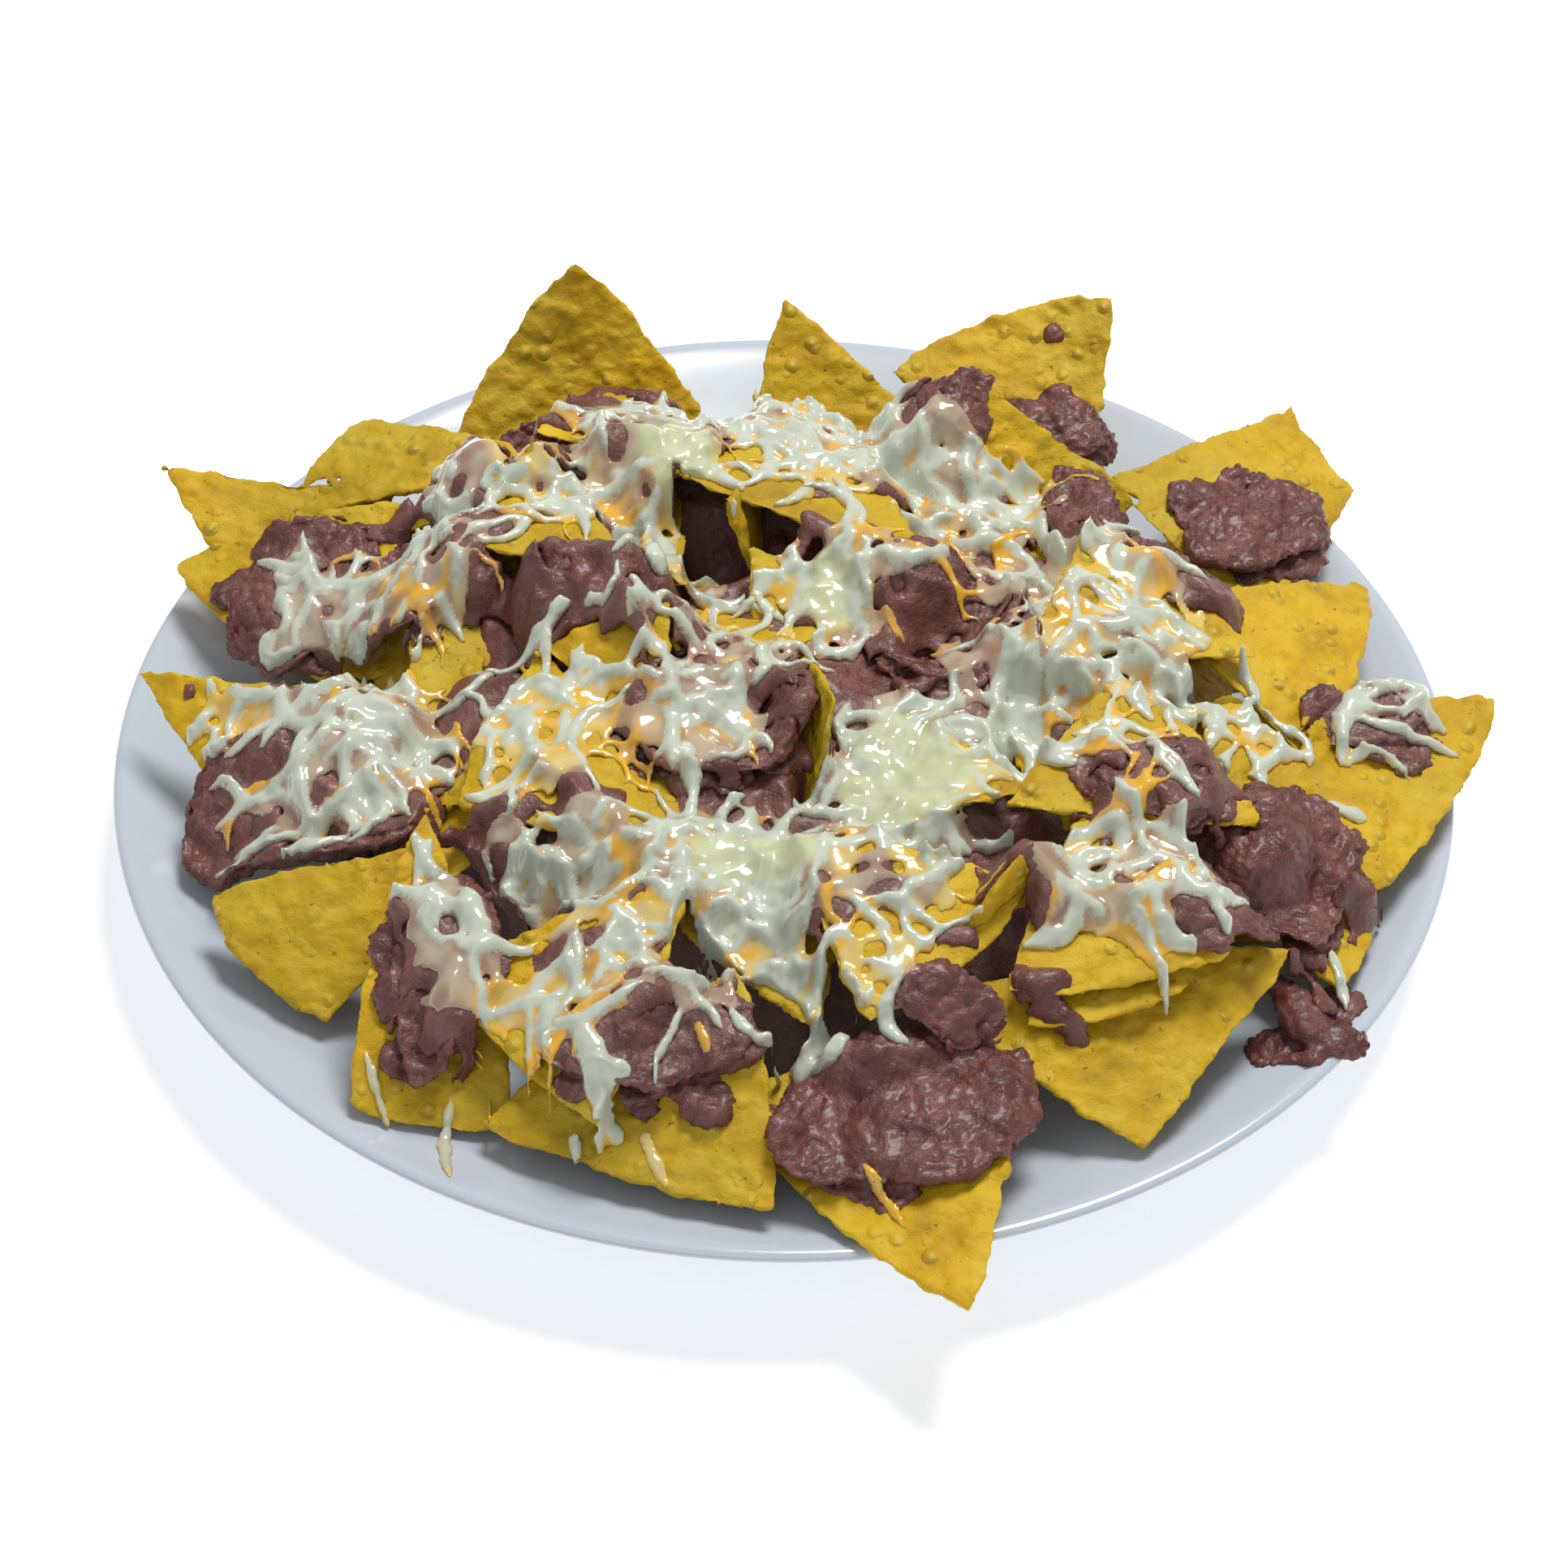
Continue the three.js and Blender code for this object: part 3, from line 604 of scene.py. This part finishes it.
def lean_outwards(around, away, out_tip):
    """Leans a low chip from the heap down to what its outer tip rests on."""
    x, y = away * math.cos(around), away * math.sin(around)
    tip_share = (away + out_tip) / away
    rise = (lying_height(x * tip_share, y * tip_share) - lying_height(x, y)) / (out_tip * MM)
    pitch = math.degrees(math.asin(max(-0.5, min(0.4, rise))))
    return x, y, pitch + scatter.uniform(0, 4), scatter.uniform(-5, 5)


scatter = random.Random(17)
for place in range(23):
    around = math.radians(-30 + place * 10.9 + scatter.uniform(-4, 4))
    leaning = lean_outwards(around, 73, 25)
    turn = math.degrees(around) - 90 + scatter.uniform(-16, 16)
    inner_places.append((*leaning, turn))
for place in range(20):
    around = math.radians(6 + place * 9 + scatter.uniform(-4, 4))
    leaning = lean_outwards(around, 84 + 9 * (place % 2), 22)
    turn = math.degrees(around) - 90 + scatter.choice((0, 60)) + scatter.uniform(-16, 16)
    inner_places.append((*leaning, turn))
inner_reach, inner_thickness, inner_cell = 0.028, 0.0018, 0.0014
inner_chips = []
for x, y, pitch, roll, turn in inner_places:
    bpy.ops.mesh.primitive_circle_add(vertices=3, radius=inner_reach, fill_type="NGON",
                                      location=(0, 0, 0))
    inner = bpy.context.active_object
    bpy.ops.object.mode_set(mode="EDIT")
    bpy.ops.mesh.select_all(action="SELECT")
    bpy.ops.mesh.bevel(offset=0.003, segments=2, affect="VERTICES")
    bpy.ops.object.mode_set(mode="OBJECT")
    inner.rotation_euler = (math.radians(pitch), math.radians(roll), math.radians(turn))
    inner.location = (plate_x + x * MM, plate_y + y * MM, lying_height(x, y))
    bpy.ops.object.transform_apply(location=True, rotation=True, scale=True)
    wall = inner.modifiers.new("wall", "SOLIDIFY")
    wall.thickness = inner_thickness
    apply_all(inner)
    fry(inner, inner_cell)
    inner_chips.append(inner)
bpy.ops.object.select_all(action="DESELECT")
for inner in inner_chips:
    inner.select_set(True)
bpy.context.view_layer.objects.active = inner_chips[0]
bpy.ops.object.join()
hidden_chips = bpy.context.active_object
hidden_chips.name = "tortilla_hidden_chips"
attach(hidden_chips, "root")

# ---------------------------------------------------------------------------------------
# Refried beans: soft mauve-brown paste spooned over the chips. Each dollop grows out of its
# CAD body, with small dabs dropped round its edge, melted into one lumpy skin.
chance = random.Random(41)
chip_surface = lying_surface(chips + [hidden_chips, bed, plate])
chip_heights = height_map(chip_surface)
bare_heights = height_map(lying_surface(chips + [hidden_chips, plate]))
fold_field = cloud_field("bean folds", 0.0090, 2)
mash_field = cloud_field("bean mash", 0.0026, 2)
bit_field = cloud_field("bean bits", 0.0013, 1)


def dab(x, y, wide, tall):
    """A small flattened ball lying on the chips below x, y."""
    hit, normal = chip_surface.ray_cast(Vector((x, y, above_heap)), down)[:2]
    if hit is None:
        return None
    if normal.z < 0:
        normal.negate()
    bpy.ops.mesh.primitive_ico_sphere_add(subdivisions=2, radius=1, location=(0, 0, 0))
    ball = bpy.context.active_object
    ball.scale = (wide, wide * chance.uniform(0.6, 1.4), tall)
    ball.rotation_euler = normal.to_track_quat("Z", "Y").to_euler()
    ball.rotation_euler.rotate_axis("Z", chance.uniform(0, 6.28))
    ball.location = hit + normal * tall * 0.3
    return ball


slump = 0.0048
dollop_cell = 0.0008
gaps_closed = -widened(-widened(chip_heights, 0.0030), 0.0030)
broad_heights = blurred(banked(gaps_closed, 0.9, 0.0090), 0.0012)
beans = []
for node_name in sorted(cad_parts):
    if not node_name.startswith("bean_"):
        continue
    low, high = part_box(node_name)
    centre_x, centre_y = (low[0] + high[0]) / 2, (low[1] + high[1]) / 2
    half_x, half_y = (high[0] - low[0]) / 2, (high[1] - low[1]) / 2
    body = copy_of_node(node_name, "refried_" + node_name)
    dabs = [body]
    for place in range(14 + int(half_x * half_y * 9e4)):
        turn = chance.uniform(0, 2 * math.pi)
        reach = chance.uniform(0.55, 1.02)
        size = chance.uniform(0.0022, 0.0058)
        ball = dab(centre_x + math.cos(turn) * half_x * reach,
                   centre_y + math.sin(turn) * half_y * reach,
                   size, chance.uniform(0.0007, 0.0012))
        if ball is not None and low[2] - 0.003 < ball.location.z < high[2] + 0.001:
            dabs.append(ball)
        elif ball is not None:
            bpy.data.objects.remove(ball)
    bpy.ops.object.select_all(action="DESELECT")
    for ball in dabs:
        ball.select_set(True)
    bpy.context.view_layer.objects.active = body
    bpy.ops.object.transform_apply(location=True, rotation=True, scale=True)
    bpy.ops.object.join()
    skin = body.modifiers.new("skin", "REMESH")
    skin.mode = "VOXEL"
    skin.voxel_size = dollop_cell
    apply_all(body)
    places = vertex_places(body)
    rows, columns = map_cells(places)
    raised = places[:, 2] - broad_heights[rows, columns]
    sunk = slump * (1 - np.exp(-raised / slump))
    on_show = raised > 0
    places[on_show, 2] += (sunk - raised)[on_show]
    body.data.vertices.foreach_set("co", places.ravel())
    soft = body.modifiers.new("soft", "SMOOTH")
    soft.factor = 0.5
    soft.iterations = 5
    roughen(body, "folds", fold_field, 0.0036, 0.42)
    roughen(body, "mashed", mash_field, 0.0019, 0.47)
    roughen(body, "bits", bit_field, 0.0009)
    apply_all(body)
    body.data.materials.clear()
    body.data.materials.append(paste)
    bpy.ops.object.shade_smooth()
    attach(body, "root")
    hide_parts(node_name)
    beans.append(body)

# each smeared zone or crumb: its middle, half sizes and turn
spread_zones = [
    (-88, -14, 22, 10, -15), (-86, -36, 22, 14, 0), (-97, 22, 12, 18, 0), (-72, 16, 18, 14, 10),
    (-66, 40, 12, 12, 0), (-38, 40, 18, 12, 0), (-40, 64, 16, 14, 20), (-14, 60, 22, 12, 0),
    (20, 60, 16, 14, 0), (34, 40, 22, 10, 0), (10, 12, 10, 14, 0), (30, 4, 18, 18, 0),
    (60, 36, 12, 12, 0), (72, 14, 18, 10, 0), (62, -8, 18, 8, 0), (70, -48, 16, 12, 0),
    (60, -68, 24, 10, 0), (-38, 4, 18, 16, 0), (-14, -28, 18, 14, 0), (-46, -56, 20, 18, 0),
    (-20, -64, 26, 14, 0), (10, -72, 22, 14, 0), (-26, -88, 22, 12, 0), (-62, -82, 12, 18, 10),
    (-12, -10, 17, 17, 0),
]
crumbs = [
    (-114, 16, 3.2, 2.6, 20), (-117, -8, 2.4, 2.0, 0), (-1, -81, 2.8, 2.8, 0),
    (-71, -38, 3, 2.4, 0), (-119, 59, 2.4, 2, 0), (59, 108, 4.6, 3, 10), (108, -54, 8, 4.5, 50),
    (113, -49, 5, 3, 80), (50, -90, 8, 2.6, -22), (100, -73, 8, 3, -50), (46, -86, 6, 4, 0),
    (-100, 40, 3, 2.4, 0),
]
crumb_zone = np.max([zone_map(*oval) for oval in crumbs], axis=0)
spread_zone = np.max([zone_map(*oval) for oval in spread_zones], axis=0)
dollop_heights = np.maximum(chip_heights, height_map(lying_surface(beans)))
spread_base = -widened(-widened(dollop_heights, 0.0030), 0.0030)
banks = banked(spread_base, 1.35, 0.0065)
bank_share = np.clip((spread_zone + 0.10 + 0.12 * cloud_map(0.0045, 30)) * 4, 0, 1)
bank_share *= np.clip((chip_heights - 0.013) / 0.003, 0, 1)
for hollow_x, hollow_y, reach_x, reach_y, turn, depth in hollows:
    bank_share *= 1 - np.clip(zone_map(hollow_x, hollow_y, reach_x, reach_y, turn) * 3, 0, 1)
spread_base += (banks - spread_base) * bank_share
spread_base = np.maximum(dollop_heights, blurred(spread_base, 0.0010))
spread_y, spread_x = np.gradient(blurred(spread_base, 0.0010), map_step)
spread_steep = np.hypot(spread_x, spread_y)
spread_depths = np.clip((spread_zone + 0.30 * cloud_map(0.0030, 31) - 0.14) * 2.2, 0, 1)
banked_up = np.clip((spread_base - dollop_heights) / 0.001 - 0.6, 0, 1) * bank_share
crumbled = np.clip((crumb_zone + 0.12 * cloud_map(0.0012, 34)) * 1.6, 0, 1)
spread_depths = np.maximum(spread_depths, np.maximum(banked_up, crumbled))
spread_depths *= 0.0013 + 0.0005 * cloud_map(0.0022, 32) + 0.0005 * cloud_map(0.0010, 33)
spread_depths *= np.clip(3.4 - spread_steep, 0, 1)
spread_sink, spread_cell = 0.0007, 0.0009
spread_stretch = np.sqrt(1 + np.minimum(spread_steep, 3.5) ** 2)
smears = lay_over("refried_smears", spread_base, spread_depths * spread_stretch,
                  spread_sink * spread_stretch, spread_cell)
smears.data.materials.append(paste)
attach(smears, "root")

# ---------------------------------------------------------------------------------------
# Melted cheese: white and yellow shreds strewn over the heap and melted on it. The shreds
# of one side are drawn on a map of depths, with a thin film between them, and the map is
# laid over whatever is below and fused to one smooth skin.
ground = np.maximum(dollop_heights, height_map(lying_surface([smears])))
on_beans = blurred((ground > bare_heights + 0.0001).astype(float), 0.0006)

bridged = -widened(-widened(ground, 0.0020), 0.0020)
bridged += (banked(bridged, 1.8, 0.0040) - bridged) * bank_share * 0.8
bridged = np.maximum(ground, blurred(bridged, 0.0007))
slope_y, slope_x = np.gradient(blurred(bridged, 0.0016), map_step)
steepness = np.hypot(slope_x, slope_y)
hold = 1 / (1 + np.exp((steepness - 2.6 + 0.3 * cloud_map(0.004, 5)) * 4))
hold *= np.clip(2.0 - (bridged - ground) / 0.004, 0, 1)


def draw_line(depths, path, half_width, height):
    """Draws a line of cheese with a round back and thin ends through grid cells."""
    path_rows, path_columns = [row for row, column in path], [column for row, column in path]
    first_row, first_column = max(0, min(path_rows) - 10), max(0, min(path_columns) - 10)
    last_row = min(map_rows, max(path_rows) + 11)
    last_column = min(map_columns, max(path_columns) + 11)
    line = np.zeros((last_row - first_row, last_column - first_column))
    rows_here = np.arange(line.shape[0])[:, None]
    columns_here = np.arange(line.shape[1])[None, :]
    wobble = chance.uniform(0, 6)
    for place, (row, column) in enumerate(path):
        share = place / (len(path) - 1)
        end = min(1.0, 0.5 + 2.4 * min(share, 1 - share))
        width = half_width * end * (1 + 0.16 * math.sin(wobble + place * 0.23)) / map_step
        row, column = row - first_row, column - first_column
        top, left = max(0, row - 9), max(0, column - 9)
        away = ((rows_here[top:row + 10] - row) ** 2
                + (columns_here[:, left:column + 10] - column) ** 2) / width ** 2
        spot = line[top:row + 10, left:column + 10]
        np.maximum(spot, height * end * np.sqrt(np.clip(1 - away, 0, 1)), out=spot)
    below = depths[first_row:last_row, first_column:last_column]
    below[:] = np.maximum(below, line + 0.42 * below * np.clip(line / height * 2, 0, 1))


def lay_shred(depths, x, y, heading, length, half_width, height):
    """Lets one shred curl over the heap from a point, and draws it."""
    curl = chance.uniform(-0.11, 0.11)
    path = []
    last = None
    for place in range(int(length / map_step)):
        row, column = int((y - map_y) / map_step), int((x - map_x) / map_step)
        if not (12 < row < map_rows - 12 and 12 < column < map_columns - 12):
            break
        here = bridged[row, column]
        if last is not None and last - here > 0.0022 and chance.random() < 0.8:
            break
        last = here
        path.append((row, column))
        fall_x, fall_y = -slope_x[row, column], -slope_y[row, column]
        fall = math.hypot(fall_x, fall_y)
        if fall > 0.35:
            off = (math.atan2(fall_y, fall_x) - heading + math.pi) % (2 * math.pi) - math.pi
            heading += 0.045 * off * min(1.5, fall)
        heading += curl + chance.uniform(-0.09, 0.09)
        if chance.random() < 0.03:
            curl = -curl
        pace = map_step / math.sqrt(1 + min(4.0, fall * fall))
        x += math.cos(heading) * pace
        y += math.sin(heading) * pace
    if len(path) >= 8:
        draw_line(depths, path, half_width, height)


def lay_lone(depths, bends, half_width, height):
    """Draws one shred that lies by itself, through two or three points in millimetres."""
    (x0, y0), (x1, y1), (x2, y2) = bends
    path = []
    for place in range(61):
        t = place / 60
        near, mid, far = (1 - t) * (1 - 2 * t), 4 * t * (1 - t), t * (2 * t - 1)
        x = plate_x + (near * x0 + mid * x1 + far * x2) * MM
        y = plate_y + (near * y0 + mid * y1 + far * y2) * MM
        path.append((int((y - map_y) / map_step), int((x - map_x) / map_step)))
    draw_line(depths, path, half_width * MM, height * MM)


def strew(depths, zones, half_widths, heights):
    """Lays the shreds of a list of oval zones."""
    for zone_x, zone_y, reach_x, reach_y, turn, amount in zones:
        slant = math.radians(turn)
        for shred in range(amount):
            angle = chance.uniform(0, 2 * math.pi)
            away = math.sqrt(chance.random())
            u, v = math.cos(angle) * reach_x * away, math.sin(angle) * reach_y * away
            x = plate_x + (zone_x + u * math.cos(slant) - v * math.sin(slant)) * MM
            y = plate_y + (zone_y + u * math.sin(slant) + v * math.cos(slant)) * MM
            lay_shred(depths, x, y, chance.uniform(0, 2 * math.pi),
                      chance.uniform(0.008, 0.028),
                      chance.uniform(*half_widths), chance.uniform(*heights))


cheese, shader = node_material("melted cheese")
nodes, links = cheese.node_tree.nodes, cheese.node_tree.links
melt_colour = nodes.new("ShaderNodeAttribute")
melt_colour.attribute_name = "melt_colour"
toned = nodes.new("ShaderNodeVectorMath")
toned.operation = "SCALE"
links.new(melt_colour.outputs["Color"], toned.inputs[0])
shade = add_range(cheese, add_noise(cheese, 160, 4).outputs["Fac"], 0.3, 0.7, 0.86, 1.06)
links.new(shade, toned.inputs["Scale"])
links.new(toned.outputs["Vector"], shader.inputs["Base Color"])
fine = add_relief(cheese, add_noise(cheese, 420, 3).outputs["Fac"], 0.18, 0.0005)
links.new(fine, shader.inputs["Normal"])
shader.inputs["Roughness"].default_value = 0.17
shader.inputs["Subsurface Weight"].default_value = 0.25
shader.inputs["Subsurface Radius"].default_value = (0.0018, 0.0014, 0.0008)
shader.inputs["Subsurface Scale"].default_value = 1.0
shader.inputs["Specular IOR Level"].default_value = 0.55
shader.inputs["Coat Weight"].default_value = 0.6
shader.inputs["Coat Roughness"].default_value = 0.06


# each zone: its middle, half sizes and turn, then the number of shreds; each lone shred:
# three points on it, then its half width and height
cheese_sides = {
    "cheese_left": {
        "lone_white": [(((-96, -52), (-90, -49), (-83, -46)), 1.7, 1.5)],
        "lone_yellow": [],
        "pool": [],
        "film": [(-88, -14, 27, 10, -15), (-86, -31, 17, 10, 0), (-98, 20, 8, 13, 0),
                 (-76, 13, 16, 12, 10), (-66, 38, 9, 10, 0)],
        "white": [(-88, -12, 26, 9, -15, 56), (-86, -31, 20, 11, 0, 27), (-98, 18, 8, 14, 0, 14),
                  (-76, 13, 16, 11, 10, 23), (-66, 38, 10, 12, 0, 17), (-112, -12, 4, 3, 0, 3)],
        "yellow": [(-88, -14, 24, 10, -15, 13), (-86, -32, 18, 12, 0, 10),
                   (-76, 14, 16, 12, 10, 13)],
    },
    "cheese_back": {
        "lone_white": [],
        "lone_yellow": [],
        "pool": [(-22, 42, 9, 14, 10), (8, 20, 6, 9, 0)],
        "film": [(-38, 40, 17, 13, 0), (-20, 24, 9, 17, 0), (-18, 60, 28, 13, 0),
                 (8, 56, 22, 20, 0), (2, 76, 16, 8, 0), (36, 42, 24, 11, 0), (24, 72, 8, 8, 0)],
        "white": [(-38, 38, 16, 14, 0, 20), (-20, 24, 10, 18, 0, 20), (-18, 60, 26, 12, 0, 36),
                  (8, 56, 20, 20, 0, 49), (2, 76, 16, 8, 0, 17), (36, 42, 22, 10, 0, 27),
                  (24, 72, 8, 8, 0, 8)],
        "yellow": [(-38, 40, 18, 14, 0, 10), (-20, 22, 12, 18, 0, 10), (-8, 60, 30, 14, -10, 16),
                   (34, 44, 24, 12, 0, 18)],
    },
    "cheese_right": {
        "lone_white": [(((109, -17), (112, -6), (117, 3)), 1.9, 1.6),
                       (((117, 2), (125, -1), (132, -7)), 1.8, 1.6),
                       (((119, 7), (128, 8), (134, 2)), 1.2, 1.2),
                       (((105, -31), (109, -32), (113, -33)), 1.7, 1.3),
                       (((36, -27), (45, -37), (55, -42)), 1.8, 1.8),
                       (((104, -63), (105, -68), (106, -75)), 1.4, 1.1)],
        "lone_yellow": [],
        "pool": [(24, -38, 15, 17, 0), (8, 8, 7, 9, 0)],
        "film": [(10, 10, 12, 14, 0), (54, 16, 16, 14, 0), (64, 6, 18, 12, 0),
                 (68, -12, 24, 9, 0), (42, -8, 12, 10, 0), (60, -66, 20, 11, 0),
                 (26, -38, 18, 20, 0)],
        "white": [(10, 10, 11, 13, 0, 20), (54, 16, 14, 13, 0, 17), (64, 8, 16, 12, 0, 13),
                  (70, -12, 22, 9, 0, 27), (42, -10, 12, 11, 0, 17), (68, -33, 13, 9, 0, 14),
                  (100, -20, 13, 5, 0, 8), (118, -7, 9, 4, 30, 6), (60, -66, 20, 11, 0, 30),
                  (26, -38, 16, 18, 0, 39)],
        "yellow": [(10, 10, 14, 14, 0, 10), (56, 10, 18, 16, 0, 18), (70, -12, 22, 10, 0, 16),
                   (66, -38, 14, 14, 0, 12), (58, -66, 20, 12, 0, 12), (42, 22, 14, 10, 0, 10)],
    },
    "cheese_front": {
        "lone_white": [(((-57, -70), (-56, -75), (-54, -81)), 2.2, 1.9),
                       (((-36, -100), (-32, -106), (-28, -113)), 2.2, 1.9),
                       (((-75, -94), (-73, -99), (-70, -105)), 1.0, 0.9),
                       (((-59, -101), (-60, -108), (-58, -117)), 1.4, 1.0),
                       (((-24, -111), (-22, -116), (-19, -121)), 1.4, 0.6),
                       (((3, -96), (8, -99), (12, -96)), 2.4, 1.5)],
        "lone_yellow": [(((-41, -108), (-39, -101), (-33, -94)), 0.9, 0.8),
                        (((-45, -105), (-42, -98), (-38, -91)), 0.8, 0.7),
                        (((14, -119), (19, -125), (23, -132)), 0.9, 0.8),
                        (((-37, -104), (-35, -98), (-36, -92)), 0.8, 0.7)],
        "pool": [(-6, -62, 15, 8, 0)],
        "film": [(-14, -12, 13, 13, 0), (-46, -30, 14, 17, 0), (-14, -31, 13, 11, 0),
                 (-30, -62, 32, 13, 0), (2, -66, 28, 14, 0), (-20, -82, 26, 11, 0),
                 (14, -86, 14, 8, 0), (-60, -78, 10, 16, 10), (-36, -90, 14, 9, 0)],
        "white": [(-14, -12, 12, 12, 0, 16), (-46, -30, 13, 15, 0, 20), (-14, -31, 13, 11, 0, 12),
                  (-38, -2, 10, 8, 0, 6), (-30, -60, 30, 11, 0, 39), (2, -66, 26, 13, 0, 47),
                  (-20, -84, 26, 11, 0, 30), (14, -86, 14, 8, 0, 14), (-34, -110, 4, 4, 0, 3),
                  (-58, -72, 11, 12, 0, 12), (-12, -84, 18, 8, 0, 12)],
        "yellow": [(-46, -28, 16, 18, 0, 16), (-30, -62, 30, 12, 0, 16), (0, -66, 26, 14, 0, 13),
                   (-26, -90, 26, 12, 0, 16), (-14, -30, 14, 12, 0, 5), (-50, -100, 10, 6, 0, 4)],
    },
}
no_oval = (0, 0, 0.1, 0.1, 0)
film_depth = 0.00055
cheese_sink, cheese_cell = 0.0004, 0.00058
all_cheese = np.zeros((map_rows, map_columns))
for node_name, sides in cheese_sides.items():
    white_depths = np.zeros((map_rows, map_columns))
    yellow_depths = np.zeros((map_rows, map_columns))
    strew(white_depths, sides["white"], (0.0008, 0.0015), (0.0010, 0.0020))
    strew(yellow_depths, sides["yellow"], (0.0007, 0.0011), (0.0005, 0.0008))
    zone = np.max([zone_map(*oval) for oval in sides["film"]], axis=0)
    for bends, half_width, height in sides["lone_white"]:
        lay_lone(white_depths, bends, half_width, height)
    for bends, half_width, height in sides["lone_yellow"]:
        lay_lone(yellow_depths, bends, half_width, height)
    pool_zone = np.max([zone_map(*oval) for oval in sides["pool"] or [no_oval]], axis=0)
    pool = np.clip(pool_zone * 2.5 + 0.25 * edge_clouds, 0, 1) * (zone > -0.3)
    film_clouds = np.clip(0.95 + 0.8 * hole_clouds, 0, 1)
    film = np.clip((zone + 0.07 + 0.16 * edge_clouds) * 4, 0, 1) * film_clouds * film_depth
    curds = pool * (0.0011 + 0.0003 * cloud_map(0.0009, 12))
    depths = (white_depths ** 4 + yellow_depths ** 4 + film ** 4 + curds ** 4) ** (1 / 4)
    depths = (0.75 * depths + 0.25 * blurred(depths, 0.0008)) * hold
    depths *= blurred((depths > least_depth).astype(float), 0.0007) > 0.42
    fine_y, fine_x = np.gradient(blurred(bridged, 0.0009), map_step)
    stretch = np.sqrt(1 + np.minimum(np.hypot(fine_x, fine_y), 2.8) ** 2)
    white = lay_over("melted_" + node_name, bridged, depths * stretch,
                     cheese_sink * stretch, cheese_cell)
    white_share = np.clip((blurred(white_depths, 0.0003) - 0.00035) / 0.0006, 0, 1)
    yellow_share = np.clip((blurred(yellow_depths, 0.0004) - 0.0001) / 0.0006, 0, 1)
    yellow_stain = np.clip(blurred(yellow_depths, 0.0022) / 0.00035, 0, 1)
    thin_colour = ((1 - on_beans)[..., None] * np.array([0.74, 0.50, 0.07])
                   + on_beans[..., None] * np.array([0.36, 0.21, 0.15]))
    stained = (yellow_stain * np.clip(0.6 + 0.5 * edge_clouds, 0, 1))[..., None] * 0.85
    thin_colour = thin_colour * (1 - stained) + stained * np.array([0.70, 0.34, 0.015])
    milk_clouds = np.clip(0.6 + 0.4 * hole_clouds, 0, 1)
    milky_share = (np.clip(film / 0.0006, 0, 1) * milk_clouds)[..., None] * 0.5
    colour = thin_colour * (1 - milky_share) + milky_share * np.array([0.60, 0.60, 0.42])
    yellow_share = yellow_share[..., None]
    colour = colour * (1 - yellow_share) + yellow_share * np.array([0.78, 0.43, 0.022])
    curd_share = np.clip(pool * 1.2 - white_share * 0.5, 0, 1)[..., None]
    white_share = white_share[..., None]
    colour = colour * (1 - white_share) + white_share * np.array([0.57, 0.61, 0.50])
    colour = colour * (1 - curd_share) + curd_share * np.array([0.57, 0.60, 0.35])
    rows, columns = map_cells(vertex_places(white))
    painted = np.concatenate([colour[rows, columns], np.ones((len(rows), 1))], axis=1)
    melt = white.data.attributes.new("melt_colour", "FLOAT_COLOR", "POINT")
    melt.data.foreach_set("color", painted.ravel())
    white.data.materials.append(cheese)
    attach(white, "root")
    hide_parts(node_name)
    bridged = bridged + np.where(depths > least_depth, depths * 0.8, 0)
    all_cheese = np.maximum(all_cheese, depths)
near_cheese = np.clip(blurred(all_cheese, 0.0012) / 0.0009, 0, 1) * 0.3
for body in beans + [bed, smears]:
    rows, columns = map_cells(vertex_places(body))
    milk_share = body.data.attributes.new("milk", "FLOAT", "POINT")
    milk_share.data.foreach_set("value", near_cheese[rows, columns])
